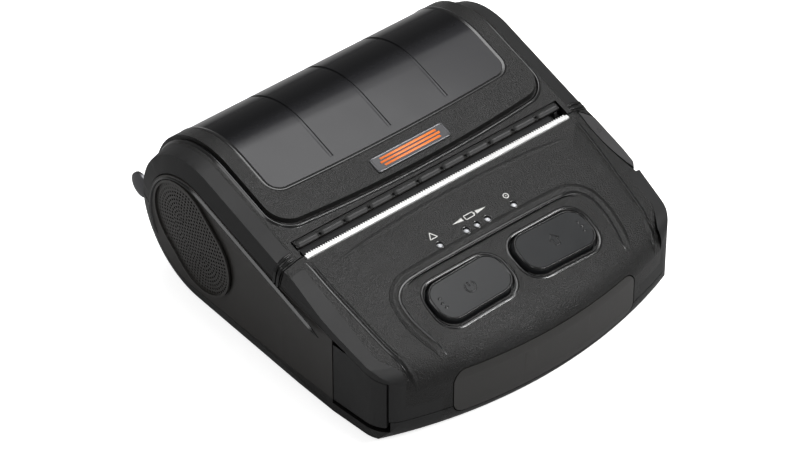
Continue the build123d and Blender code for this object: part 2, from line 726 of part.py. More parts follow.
with BuildPart() as lower_case:
    add(skin.part)
    with BuildPart(mode=Mode.PRIVATE) as kept:
        block((-half, half), (-half, tear_y + 1), (0, front_seam_z - seam_gap))
        block((-half, half), (tear_y, roll_y), (0, 30))
        block((-half, half), (roll_y, half), (0, base_seam_z))
    add(kept.part, mode=Mode.INTERSECT)
    add(side_zone.part, mode=Mode.SUBTRACT)
    add(right_front_zone.part, mode=Mode.SUBTRACT)
    block((-half, -side_start_x), (port_y[0] - seam_gap, port_y[1] + seam_gap), (port_low_z - seam_gap, half), mode=Mode.SUBTRACT)
    add(both_bumpers.part, mode=Mode.SUBTRACT)
    add(plate_opening.part, mode=Mode.SUBTRACT)
    with BuildPart(mode=Mode.PRIVATE) as inner_walls:
        for side in (-1, 1):
            with BuildPart(mode=Mode.PRIVATE) as liner_wall:
                add(seat_body)
                add(Location((-side * inner_wall, 0, inner_wall / 2)) * seat_body, mode=Mode.SUBTRACT)
                block(sorted((side * inner_wall_x, side * half)), (-61, 64), (0, 44), mode=Mode.INTERSECT)
            add(liner_wall.part)
        with BuildPart(mode=Mode.PRIVATE) as under_shoulders:
            add(side_prism(shoulder_drop + wall + 0.6))
            block((-half, half), (-61, 64), (0, 30))
        add(under_shoulders.part, mode=Mode.INTERSECT)
        add(grille_prism(0.3), mode=Mode.SUBTRACT)
        block((-half, -50), (port_y[0] - 1, port_y[1] + 1), (front_seam_z + 1, half), mode=Mode.SUBTRACT)
        block((60, half), (latch_y - 7, latch_y + 8), (32, half), mode=Mode.SUBTRACT)
    add(inner_walls.part)
    with BuildPart(mode=Mode.PRIVATE) as wall_foot:
        add(inner_body)
        with BuildPart(mode=Mode.PRIVATE) as foot_bars:
            for side in (-1, 1):
                block(sorted((side * inner_wall_x, side * 66)), (-61, 60), (floor_z - 0.5, floor_z + 3.2))
        add(foot_bars.part, mode=Mode.INTERSECT)
    add(wall_foot.part)
    hinge_cap_room()
    for side in (-1, 1):
        block(sorted((side * (battery_half_width + 0.5), side * (battery_half_width + 2.1))),
              (-63, battery_end_y + 4), (foot_height + 1, 20))
        span = sorted((side * base_knuckle[0], side * base_knuckle[1]))
        lid_span = sorted((side * (lid_knuckle[0] - 0.4), side * (lid_knuckle[1] + 0.4)))
        shaft(span, hinge_y, hinge_z, hinge_barrel_radius)
        block(span, (hinge_y - 5.2, hinge_y), (hinge_z - hinge_barrel_radius + 0.3, base_seam_z - 0.3))
        shaft(lid_span, hinge_y, hinge_z, hinge_barrel_radius + 0.4, mode=Mode.SUBTRACT)
        block(sorted((side * battery_rail_x[0], side * battery_rail_x[1])), (-62, battery_end_y - 2),
              (foot_height + 1, battery_z[0] - 0.1))
        for foot in frame_foot_y:
            block(sorted((side * (frame_x - 6.0), side * (frame_x - 1.5))), foot, (foot_height + 1, frame_foot_z))
    block((-battery_half_width, battery_half_width), (battery_end_y + 3.4, battery_end_y + 5.0), (foot_height + 1, 20))
    for x, y in board_posts:
        post(x, y, (foot_height + 1, main_board_z[0]), board_post_radius)
    for x, y in screw_places():
        post(x, y, (foot_height, screw_boss_top), screw_boss_radius)
    for x, y in screw_places():
        post(x, y, (0, 20), screw_radius + 0.02, mode=Mode.SUBTRACT)
        post(x, y, (0, foot_height + screw_head_height), screw_head_radius + 0.3, mode=Mode.SUBTRACT)
    shaft((-hinge_half_length, hinge_half_length), hinge_y, hinge_z, hinge_rod_radius + 0.02, mode=Mode.SUBTRACT)
    for x, y in board_posts:
        post(x, y, (main_board_z[0] - 6, main_board_z[0]), board_screw_radius + 0.02, mode=Mode.SUBTRACT)
    post(0, guide_pinion_y, (foot_height + 1, rack_z[1] + 1.2), guide_post_radius)
write(lower_case, "lower_case")

# Side panels with a perforated grille insert
def grille_points(rings, spacing, pitch):
    """Hole centres on rings that step outwards from the middle line of the grille."""
    points = []
    for ring in range(rings):
        radius = ring * spacing
        around = 4 * grille_half_straight + 2 * pi * radius
        count = max(2, round(around / pitch))
        for n in range(count):
            along = n * around / count
            straight = 2 * grille_half_straight
            if along < straight:
                point = (along - grille_half_straight, radius)
            elif along < straight + pi * radius:
                angle = (along - straight) / radius
                point = (grille_half_straight + radius * sin(angle), radius * cos(angle))
            elif along < 2 * straight + pi * radius:
                point = (grille_half_straight - (along - straight - pi * radius), -radius)
            else:
                angle = (along - 2 * straight - pi * radius) / max(radius, 0.01)
                point = (-grille_half_straight - radius * sin(angle), -radius * cos(angle))
            points.append(point)
    return points


for side, word in ((-1, "left"), (1, "right")):
    near = sorted((0, side * half))
    with BuildPart() as side_panel:
        add(side_skin.part)
        if side > 0:
            add(right_front_skin.part)
            with BuildPart(mode=Mode.PRIVATE) as lever_notch:
                block((side_start_x, half), (rail_restart_y, latch_y), (0, half))
                add(side_prism(shoulder_drop + lever_swing), mode=Mode.SUBTRACT)
            add(lever_notch.part, mode=Mode.SUBTRACT)
            block((side_start_x, lever_stem_x[1] + 0.4), (latch_y - 4.5, latch_y + 6.5), (32, half), mode=Mode.SUBTRACT)
        block(near, (-half, half), (0, half), mode=Mode.INTERSECT)
        add(grille_prism(0.05), mode=Mode.SUBTRACT)
    write(side_panel, f"side_panel_{word}")
    with BuildPart() as side_grille:
        with BuildSketch(grille_plane.offset(min(side * grille_x[0], side * grille_x[1]))):
            SlotCenterToCenter(2 * grille_half_straight, 2 * grille_radius)
            with Locations(*grille_points(grille_rings, grille_ring_step, grille_pitch)):
                RegularPolygon(grille_hole_radius, 4, mode=Mode.SUBTRACT)
        extrude(amount=grille_x[1] - grille_x[0])
    write(side_grille, f"side_grille_{word}")

# Rubber cover over the sockets
with BuildPart() as port_cover:
    add(skin.part)
    add(port_zone.part, mode=Mode.INTERSECT)
    block((-half, -side_start_x), port_y, (port_low_z, port_top_z), mode=Mode.INTERSECT)
    block((-port_pivot_x + port_neck, half), (port_y[1] - port_neck_length, port_y[1]), (0, half), mode=Mode.SUBTRACT)
    with BuildPart(mode=Mode.PRIVATE) as swing_room:
        post(-port_pivot_x, port_y[1], (0, half), port_y[1] - port_y[0])
    add(swing_room.part, mode=Mode.INTERSECT)
write(port_cover, "port_cover")

# Case screws and feet, each a group of identical solids
with BuildPart() as case_screws:
    for x, y in screw_places():
        post(x, y, (foot_height + 0.3, foot_height + screw_head_height), screw_head_radius)
        post(x, y, (foot_height + 0.3, 12), screw_radius)
write(case_screws, "case_screws")
with BuildPart() as rubber_feet:
    with Locations(*[(x, y, foot_height / 2) for x in (-foot_x, foot_x) for y in foot_y]):
        Cylinder(foot_radius, foot_height)
    chamfer(rubber_feet.edges().group_by(Axis.Z)[0], 0.6)
write(rubber_feet, "rubber_feet")

# Buttons, lamp lenses, keypad and panel board
for side, word in ((-1, "power"), (1, "feed")):
    with BuildPart() as button:
        plane = button_plane(side)
        add(panel_shape(0, button_size, button_corner, button_proud - button_height, button_proud, plane=plane))
        chamfer(button.faces().sort_by(Axis(plane.origin, plane.z_dir))[-1].edges(), 0.6)
        flange = (button_size[0] + 2 * button_gap + 1.6, button_size[1] + 2 * button_gap + 1.6)
        add(panel_shape(0, flange, button_corner + 1.4, button_proud - button_height - button_flange,
                        button_proud - button_height, plane=plane))
    write(button, f"{word}_button")
with BuildPart() as panel_board:
    add(panel_shape(0, (86, 22), 2, board_low, board_low + board_thickness))
write(panel_board, "panel_board")
with BuildPart() as lamp_board:
    block((-20, 20), lamp_board_y, lamp_board_z)
write(lamp_board, "lamp_board")
with BuildPart() as keypad:
    for side in (-1, 1):
        add(panel_shape(side * button_x, (26, 12), 3, board_low + board_thickness, board_low + board_thickness + 0.6))
        add(panel_shape(0, (6, 6), 1.0, board_low + board_thickness - 0.6,
                        button_proud - button_height - button_flange - button_travel - 0.2, plane=button_plane(side)))
    add(panel_board.part, mode=Mode.SUBTRACT)
write(keypad, "keypad")
with BuildPart() as led_lenses:
    for x in led_x:
        post(x, led_y, (lamp_board_z[1], panel_mid_z - 0.6), led_radius)
        with Locations((x, led_y, panel_mid_z - 0.6)):
            Sphere(led_radius, arc_size1=0)
write(led_lenses, "led_lenses")


# Print mechanism: frame with its wings, studs and back plate
def idler_centre():
    """Idler's centre, straight down the path that the platen gear leaves by."""
    distance = (platen_teeth + idler_teeth) * gear_module / 2 + gear_backlash
    angle = radians(idler_angle)
    return platen_y + distance * cos(angle), platen_z + distance * sin(angle)


def pinion_centre():
    """Motor pinion's centre, in mesh with the idler."""
    distance = (idler_teeth + pinion_teeth) * gear_module / 2 + gear_backlash
    angle = radians(pinion_angle)
    return idler_centre()[0] + distance * cos(angle), idler_centre()[1] + distance * sin(angle)


def profile(x, points):
    """Plate between two x values with a straight-sided outline in Y and Z."""
    with BuildPart() as plate:
        with BuildSketch(Plane.YZ.offset(x[0])):
            with BuildLine():
                Polyline(*points, close=True)
            make_face()
        extrude(amount=x[1] - x[0])
    return plate.part


with BuildPart() as mechanism_frame:
    for side in (-1, 1):
        wing = sorted((side * frame_x, side * (frame_x + frame_thickness)))
        add(profile(wing, ((frame_y[0], frame_foot_z), (frame_y[0], latch_z + 1.2), (latch_y + 2, latch_z + 3.9),
                           (nip_y - 1.5, platen_z + 2.0),
                           (nip_y - 1.5, platen_z - 3.4), (frame_y[1], platen_z - 3.4), (frame_y[1], frame_foot_z))))
        for foot in frame_foot_y:
            block(sorted((side * frame_x, side * (frame_x - 6.5))), foot,
                  (frame_foot_z, frame_foot_z + frame_thickness))
    block((-frame_x, frame_x), (frame_back_y, frame_back_y + frame_thickness), (31.0, latch_z - latch_hub_radius - 0.4))
    block((-hook_x[0] + 0.6, hook_x[0] - 0.6), (frame_back_y, frame_back_y + frame_thickness), (31.0, 47.0))
    shaft((-frame_x - 5, frame_x + 5), latch_y, latch_z, latch_radius + shaft_gap, mode=Mode.SUBTRACT)
    shaft((-frame_x - 5, frame_x + 5), head_pivot_y, head_pivot_z, head_pin_radius + 0.02, mode=Mode.SUBTRACT)
    shaft((-frame_x - 5, -frame_x + 1), *pinion_centre(), motor_shaft_radius + 0.6, mode=Mode.SUBTRACT)
    shaft((gear_x[0] - 0.4, -frame_x - frame_thickness / 2), *idler_centre(), stud_radius)
write(mechanism_frame, "mechanism_frame")

# Print head: ceramic face on a finned heat sink that rocks on its pin against two leaf springs
with BuildPart() as print_head:
    block((-head_half_length, head_half_length), (nip_y - ceramic_thickness, nip_y), (head_low_z, head_top_z))
    chamfer(print_head.edges().filter_by(Axis.X).group_by(Axis.Y)[-1], 0.3)
write(print_head, "print_head")
with BuildPart() as heat_sink:
    sink_y = (head_back_y, nip_y - ceramic_thickness)
    block((-head_half_length, head_half_length), sink_y, (head_pivot_z, head_top_z))
    shaft((-head_half_length, head_half_length), head_pivot_y, head_pivot_z, head_barrel_radius)
    for z in (39.5, 42.5, 45.5):
        block((-head_half_length, head_half_length), (head_back_y, head_back_y + 1.2), (z, z + 1.4), mode=Mode.SUBTRACT)
    shaft((-half, half), head_pivot_y, head_pivot_z, head_pin_radius + shaft_gap, mode=Mode.SUBTRACT)
write(heat_sink, "heat_sink")
with BuildPart() as head_pin:
    shaft((-frame_x - frame_thickness, frame_x + frame_thickness), head_pivot_y, head_pivot_z, head_pin_radius)
write(head_pin, "head_pin")
with BuildPart() as head_springs:
    root_y = frame_back_y + frame_thickness
    tip_y = head_back_y - 1.0
    for x in (-spring_x, spring_x):
        with BuildSketch(Plane.YZ.offset(x - 4)):
            with BuildLine():
                ThreePointArc((root_y, 38.0), (tip_y - spring_thickness - 0.8, 40.6), (tip_y - spring_thickness, 44.0))
                Line((tip_y - spring_thickness, 44.0), (tip_y, 44.0))
                ThreePointArc((tip_y, 44.0), (tip_y - 0.7, 40.2), (root_y + spring_thickness, 37.2))
                Polyline((root_y + spring_thickness, 37.2), (root_y + spring_thickness, 33.5), (root_y, 33.5),
                         (root_y, 38.0))
            make_face()
        extrude(amount=8)
write(head_springs, "head_springs")

# Platen roller in its bushes, hung from the lid
with BuildPart() as platen_roller:
    shaft((-platen_half_length, platen_half_length), platen_y, platen_z, platen_radius)
    shaft((-half, half), platen_y, platen_z, platen_shaft_radius + shaft_gap, mode=Mode.SUBTRACT)
write(platen_roller, "platen_roller")
with BuildPart() as platen_shaft:
    shaft((gear_x[0] - 0.2, bush_outer_x + 0.2), platen_y, platen_z, platen_shaft_radius)
write(platen_shaft, "platen_shaft")
with BuildPart() as platen_gear:
    extrude(gear_face(Plane.YZ.offset(gear_x[0]), (platen_y, platen_z), platen_teeth, idler_angle),
            amount=gear_x[1] - gear_x[0])
    shaft((-half, half), platen_y, platen_z, platen_shaft_radius + shaft_gap, mode=Mode.SUBTRACT)
write(platen_gear, "platen_gear")
with BuildPart() as platen_bushes:
    for side in (-1, 1):
        shaft(sorted((side * bush_inner_x, side * bush_outer_x)), platen_y, platen_z, bush_radius)
        shaft(sorted((side * bush_inner_x, side * (bush_inner_x - 0.5))), platen_y, platen_z, bush_flange_radius)
    shaft((-half, half), platen_y, platen_z, platen_shaft_radius + shaft_gap, mode=Mode.SUBTRACT)
write(platen_bushes, "platen_bushes")
with BuildPart() as platen_carrier:
    ear_x = (bush_inner_x + 0.02, bush_inner_x + ear_thickness)
    with BuildPart(mode=Mode.PRIVATE) as under_lid:
        add(side_prism(wall + 0.05, (-ear_x[1], ear_x[1])))
        with BuildPart(mode=Mode.PRIVATE) as ears_and_bar:
            block((-ear_x[1], ear_x[1]), carrier_y, (carrier_low_z, half))
            for side in (-1, 1):
                span = sorted((side * ear_x[0], side * ear_x[1]))
                shaft(span, platen_y, platen_z, ear_radius)
                add(profile(span, ((platen_y - 2.5, platen_z + 4.2), (platen_y + 4.0, half), (carrier_y[1], half),
                                   (carrier_y[1], carrier_low_z), (platen_y + 4.0, platen_z - 2.5))))
        add(ears_and_bar.part, mode=Mode.INTERSECT)
    add(under_lid.part)
    shaft((-half, half), platen_y, platen_z, bush_radius + 0.03, mode=Mode.SUBTRACT)
write(platen_carrier, "platen_carrier")

# Gear train from the feed motor to the platen gear
idler_phase = idler_angle + 180 + 180 / idler_teeth
pinion_offset = (pinion_angle - idler_phase) % (360 / idler_teeth)
pinion_phase = pinion_angle + 180 + pinion_offset * idler_teeth / pinion_teeth + 180 / pinion_teeth
with BuildPart() as idler_gear:
    extrude(gear_face(Plane.YZ.offset(gear_x[0]), idler_centre(), idler_teeth, idler_phase),
            amount=gear_x[1] - gear_x[0])
    shaft((-half, half), *idler_centre(), stud_radius + shaft_gap, mode=Mode.SUBTRACT)
write(idler_gear, "idler_gear")
with BuildPart() as motor_pinion:
    extrude(gear_face(Plane.YZ.offset(gear_x[0]), pinion_centre(), pinion_teeth, pinion_phase),
            amount=gear_x[1] - gear_x[0])
    shaft((gear_x[0], motor_x[0] + 4), *pinion_centre(), motor_shaft_radius)
write(motor_pinion, "motor_pinion")
with BuildPart() as feed_motor:
    shaft(motor_x, *pinion_centre(), motor_radius)
    chamfer(feed_motor.edges().sort_by(Axis.X)[-1:], 0.8)
    shaft((motor_x[0] - 1, motor_x[0] + 5), *pinion_centre(), motor_shaft_radius + shaft_gap, mode=Mode.SUBTRACT)
write(feed_motor, "feed_motor")

# Latch: shaft across the frame, a hook beside each platen bush and a leaf spring
hook_reach = hypot(platen_y - latch_y, platen_z - latch_z) - bush_radius - latch_gap


def hook_point(angle):
    """Point on the hook's nose, at an angle above the shaft."""
    return latch_y + hook_reach * cos(radians(angle)), latch_z + hook_reach * sin(radians(angle))


with BuildPart() as latch_shaft:
    shaft((-frame_x - frame_thickness - 0.4, lever_stem_x[1]), latch_y, latch_z, latch_radius)
write(latch_shaft, "latch_shaft")
with BuildPart() as latch_hooks:
    for side in (-1, 1):
        span = sorted((side * hook_x[0], side * hook_x[1]))
        with BuildSketch(Plane.YZ.offset(span[0])):
            with BuildLine():
                ThreePointArc(hook_point(0), hook_point(hook_nose_angle / 2), hook_point(hook_nose_angle))
                Polyline(hook_point(hook_nose_angle), (latch_y, latch_z + latch_hub_radius - 0.2),
                         (latch_y, latch_z - latch_hub_radius + 0.2), (latch_y + hook_reach - 4, latch_z - 1.4),
                         hook_point(0))
            make_face()
        extrude(amount=span[1] - span[0])
        shaft(span, latch_y, latch_z, latch_hub_radius)
    shaft((-half, half), latch_y, latch_z, latch_radius + shaft_gap, mode=Mode.SUBTRACT)
write(latch_hooks, "latch_hooks")
with BuildPart() as latch_spring:
    add(profile((hook_x[0] - 5, hook_x[0] - 1), (
        (frame_back_y, 37.0), (frame_back_y, 43.5), (frame_back_y - 0.5, 44.0), (-27.0, 44.0), (-32.0, 41.6),
        (-31.8, 41.2), (-26.9, 43.6), (frame_back_y - 0.7, 43.6), (frame_back_y - 0.4, 43.3), (frame_back_y - 0.4, 37.0))))
write(latch_spring, "latch_spring")

# Boards and sockets
with BuildPart() as main_board:
    block((-38, 54), (-62, -24), main_board_z)
    block((-58.8, -38), (-62, -44), main_board_z)
    block((-20, -6), (-52, -38), (main_board_z[1], main_board_z[1] + 1.0))
    block((8, 17), (-50, -42), (main_board_z[1], main_board_z[1] + 0.8))
    block((24, 44), (-30, -25.5), (main_board_z[1], main_board_z[1] + 4.5))
    block((-32, -22), (-31, -26), (main_board_z[1], main_board_z[1] + 3.5))
    for x, y in board_posts:
        post(x, y, (0, half), board_screw_radius + 0.2, mode=Mode.SUBTRACT)
write(main_board, "main_board")
with BuildPart() as board_screws:
    for x, y in board_posts:
        post(x, y, (main_board_z[0] - 5, main_board_z[1] + 0.1), board_screw_radius)
        post(x, y, (main_board_z[1] + 0.05, main_board_z[1] + 1.2), 2 * board_screw_radius)
write(board_screws, "board_screws")
with BuildPart() as dc_jack:
    block((-63.9, -54), (jack_y - 4.5, jack_y + 4.5), (jack_z - 4.7, main_board_z[0] - 0.05))
    shaft((-66, -56), jack_y, jack_z, jack_bore_radius, mode=Mode.SUBTRACT)
    shaft((-63.2, -55), jack_y, jack_z, 1.0)
write(dc_jack, "dc_jack")
with BuildPart() as data_port:
    block((-60.7, -56), (data_port_y - 3.1, data_port_y + 3.1), (24.4, main_board_z[0] - 0.05))
    block((-63, -57.5), (data_port_y - 2.5, data_port_y + 2.5), (25.1, 27.2), mode=Mode.SUBTRACT)
write(data_port, "data_port")
with BuildPart() as battery_connector:
    block((-11.5, 11.5), (battery_end_y - 1.0, battery_end_y + 3.3), (14.3, 19.7))
    for n in range(4):
        block((-8.5 + 5 * n, -6.5 + 5 * n), (battery_end_y - 1.5, battery_end_y - 0.4), (15.5, 18.5), mode=Mode.SUBTRACT)
write(battery_connector, "battery_connector")

# Roll bay liner with its deck, slotted for the guide arms
liner_outer = hypot(roll_y - guide_rod_y, roll_z - guide_rod_z) - guide_barrel_radius - liner_gap
liner_inner = liner_outer - liner_thickness
arm_angle = degrees(atan2(guide_rod_z - roll_z, guide_rod_y - roll_y))
guide_travel = guide_teeth * pi * rack_module
with BuildPart() as bay_liner:
    with BuildSketch(Plane.YZ.offset(-liner_wall_x[1])):
        with BuildLine():
            sweep_angle = liner_foot_angle - liner_top_angle
            outer = CenterArc((roll_y, roll_z), liner_outer, liner_top_angle, sweep_angle)
            inner = CenterArc((roll_y, roll_z), liner_inner, liner_top_angle, sweep_angle)
            Line(outer @ 0, inner @ 0)
            Line(outer @ 1, inner @ 1)
        make_face()
    extrude(amount=2 * liner_wall_x[1])
    liner_top_y = roll_y + liner_inner * cos(radians(liner_top_angle))
    add(profile((-liner_wall_x[1], liner_wall_x[1]), (
        (liner_top_y, deck_z[1]), (deck_front_y, deck_z[0]), (deck_front_y, deck_z[0] - liner_thickness),
        (liner_top_y - 0.6, deck_z[1] - liner_thickness))))
    for side in (-1, 1):
        span = sorted((side * liner_wall_x[0], side * liner_wall_x[1]))
        with BuildSketch(Plane.YZ.offset(span[0])):
            with BuildSketch(mode=Mode.PRIVATE) as front_part:
                with Locations((roll_y, roll_z)):
                    Circle(liner_outer)
                with Locations((roll_y + liner_outer * cos(radians(liner_foot_angle)) - half, roll_z)):
                    Rectangle(2 * half, 2 * half, mode=Mode.INTERSECT)
            add(front_part.sketch)
            with Locations((roll_y, roll_z)):
                Circle(shell_radius - wall - 0.4)
            with Locations((guide_rod_y, guide_rod_z)):
                Circle(guide_rod_radius + 2.0)
            with Locations(Location((roll_y, roll_z), arm_angle)):
                with Locations((liner_outer - 1, 0)):
                    Rectangle(8, 2 * guide_rod_radius + 4)
            with Locations((roll_y, liner_wall_top + half / 2)):
                Rectangle(2 * half, half, mode=Mode.SUBTRACT)
        extrude(amount=span[1] - span[0])
        slot = sorted((side * (guide_open_x + 0.8), side * (guide_open_x - guide_plate - guide_travel - 0.8)))
        with BuildSketch(Plane.YZ.offset(slot[0])):
            with Locations(Location((roll_y, roll_z), arm_angle)):
                with Locations((liner_outer, 0)):
                    Rectangle(8, guide_arm_width + 1.6)
        extrude(amount=slot[1] - slot[0], mode=Mode.SUBTRACT)
    block((-half, half), (-half, half), (0, floor_z + 0.1), mode=Mode.SUBTRACT)
    for x, y in screw_places():
        post(x, y, (0, screw_boss_top + 0.5), screw_boss_radius + 0.5, mode=Mode.SUBTRACT)
    shaft((-half, half), guide_rod_y, guide_rod_z, guide_rod_radius + 0.02, mode=Mode.SUBTRACT)
    post(0, -2, (30, 40), 1.5, mode=Mode.SUBTRACT)
write(bay_liner, "bay_liner")
with BuildPart() as media_sensor:
    block((-6, 6), (-4, 0), (31.6, 34.7))
write(media_sensor, "media_sensor")

# Media guides: discs on arms that slide on a rod, tied by racks and a pinion
with BuildPart() as guide_rod:
    shaft((-liner_wall_x[1], liner_wall_x[1]), guide_rod_y, guide_rod_z, guide_rod_radius)
write(guide_rod, "guide_rod")
rack_line = guide_teeth * rack_module / 2


def rack(side):
    """Toothed bar behind the pinion for the left guide, in front of it for the right one."""
    step = pi * rack_module
    root = rack_line + 1.15 * rack_module
    tip = rack_line - 0.85 * rack_module
    far = root + rack_back
    count = guide_teeth + 1
    points = [(guide_open_x, root), (guide_open_x, far), (-step, far), (-step, root)]
    for n in range(count):
        middle = (n - 0.5) * step
        points += [(middle - 0.344 * step, root), (middle - 0.105 * step, tip), (middle + 0.105 * step, tip),
                   (middle + 0.344 * step, root)]
    with BuildPart() as bar:
        with BuildSketch(Plane.XY.offset(rack_z[0])):
            with BuildLine():
                Polyline(*[(side * x, guide_pinion_y - side * y) for x, y in points], close=True)
            make_face()
        extrude(amount=rack_z[1] - rack_z[0])
    return bar.part


for side, word in ((-1, "left"), (1, "right")):
    with BuildPart() as media_guide:
        plate = sorted((side * guide_open_x, side * (guide_open_x - guide_plate)))
        barrel = sorted((side * guide_open_x, side * (guide_open_x - guide_barrel_length)))
        shaft(plate, roll_y, roll_z, guide_radius)
        hub = sorted((side * (guide_open_x - guide_plate), side * (guide_open_x - guide_plate - 4)))
        shaft(hub, roll_y, roll_z, guide_hub_radius)
        with BuildSketch(Plane.YZ.offset(plate[0])):
            with Locations(Location((roll_y, roll_z), arm_angle)):
                reach = hypot(roll_y - guide_rod_y, roll_z - guide_rod_z)
                with Locations(((reach + guide_radius - 3) / 2, 0)):
                    Rectangle(reach - guide_radius + 3, guide_arm_width)
        extrude(amount=guide_plate)
        shaft(barrel, guide_rod_y, guide_rod_z, guide_barrel_radius)
        root_y = guide_pinion_y - side * (rack_line + 1.15 * rack_module)
        far_y = root_y - side * rack_back
        if side < 0:
            block(barrel, (root_y, far_y), (rack_z[0], guide_rod_z))
        else:
            block(barrel, (far_y, guide_rod_y), (guide_rod_z - 3.0, guide_rod_z))
            block(barrel, (far_y, root_y), (rack_z[0], guide_rod_z))
        add(rack(side))
        shaft((-half, half), guide_rod_y, guide_rod_z, guide_rod_radius + shaft_gap, mode=Mode.SUBTRACT)
    write(media_guide, f"media_guide_{word}")
with BuildPart() as guide_pinion:
    extrude(gear_face(Plane.XY.offset(rack_z[0]), (0, guide_pinion_y), guide_teeth, 90, rack_module),
            amount=rack_z[1] - rack_z[0])
    post(0, guide_pinion_y, (0, 20), guide_post_radius + shaft_gap, mode=Mode.SUBTRACT)
write(guide_pinion, "guide_pinion")
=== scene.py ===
import bpy
import bmesh
import json
import math
import numpy as np
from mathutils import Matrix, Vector


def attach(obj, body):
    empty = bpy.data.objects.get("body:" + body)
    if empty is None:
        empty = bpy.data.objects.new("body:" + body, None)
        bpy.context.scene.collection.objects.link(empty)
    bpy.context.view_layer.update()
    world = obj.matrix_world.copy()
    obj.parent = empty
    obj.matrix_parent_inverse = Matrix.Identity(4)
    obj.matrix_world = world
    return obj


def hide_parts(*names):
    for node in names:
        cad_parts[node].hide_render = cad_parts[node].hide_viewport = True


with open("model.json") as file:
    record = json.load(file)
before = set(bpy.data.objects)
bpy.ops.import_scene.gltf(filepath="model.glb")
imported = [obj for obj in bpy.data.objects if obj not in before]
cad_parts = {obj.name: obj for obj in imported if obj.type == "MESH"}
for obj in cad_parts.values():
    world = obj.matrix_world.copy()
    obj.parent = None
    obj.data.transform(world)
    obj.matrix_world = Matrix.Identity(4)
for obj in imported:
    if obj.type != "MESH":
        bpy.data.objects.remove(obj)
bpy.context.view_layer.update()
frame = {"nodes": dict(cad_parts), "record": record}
print("frame loaded")

mm = 0.001
body = {  # the printer's own outline, in millimetres, as the frame has it
    "rollY": 36.25, "rollZ": 34.0, "shellRadius": 31.5, "raised": 2.0,
    "lipY": -10.05, "lipZ": 53.5, "tearY": -14.25,
    "panelMid": (-34.6, 48.05), "panelFront": (-55.0, 42.3),
    "frontY": -75.75, "bowRadius": 180.0,
    "noseSlope": math.radians(22.0), "noseRadius": 14.0, "noseSink": 0.1,
}
lidRise, lidRun = body["rollZ"] - body["lipZ"], body["rollY"] - body["lipY"]
lidSlope = math.atan2(lidRise, lidRun) + math.asin(body["shellRadius"] / math.hypot(lidRise, lidRun))
tearZ = body["lipZ"] - (body["lipY"] - body["tearY"]) * math.tan(lidSlope)


# Finishes: each has a fine grain, a slow change of tone and a slow change of gloss, on Object coordinates

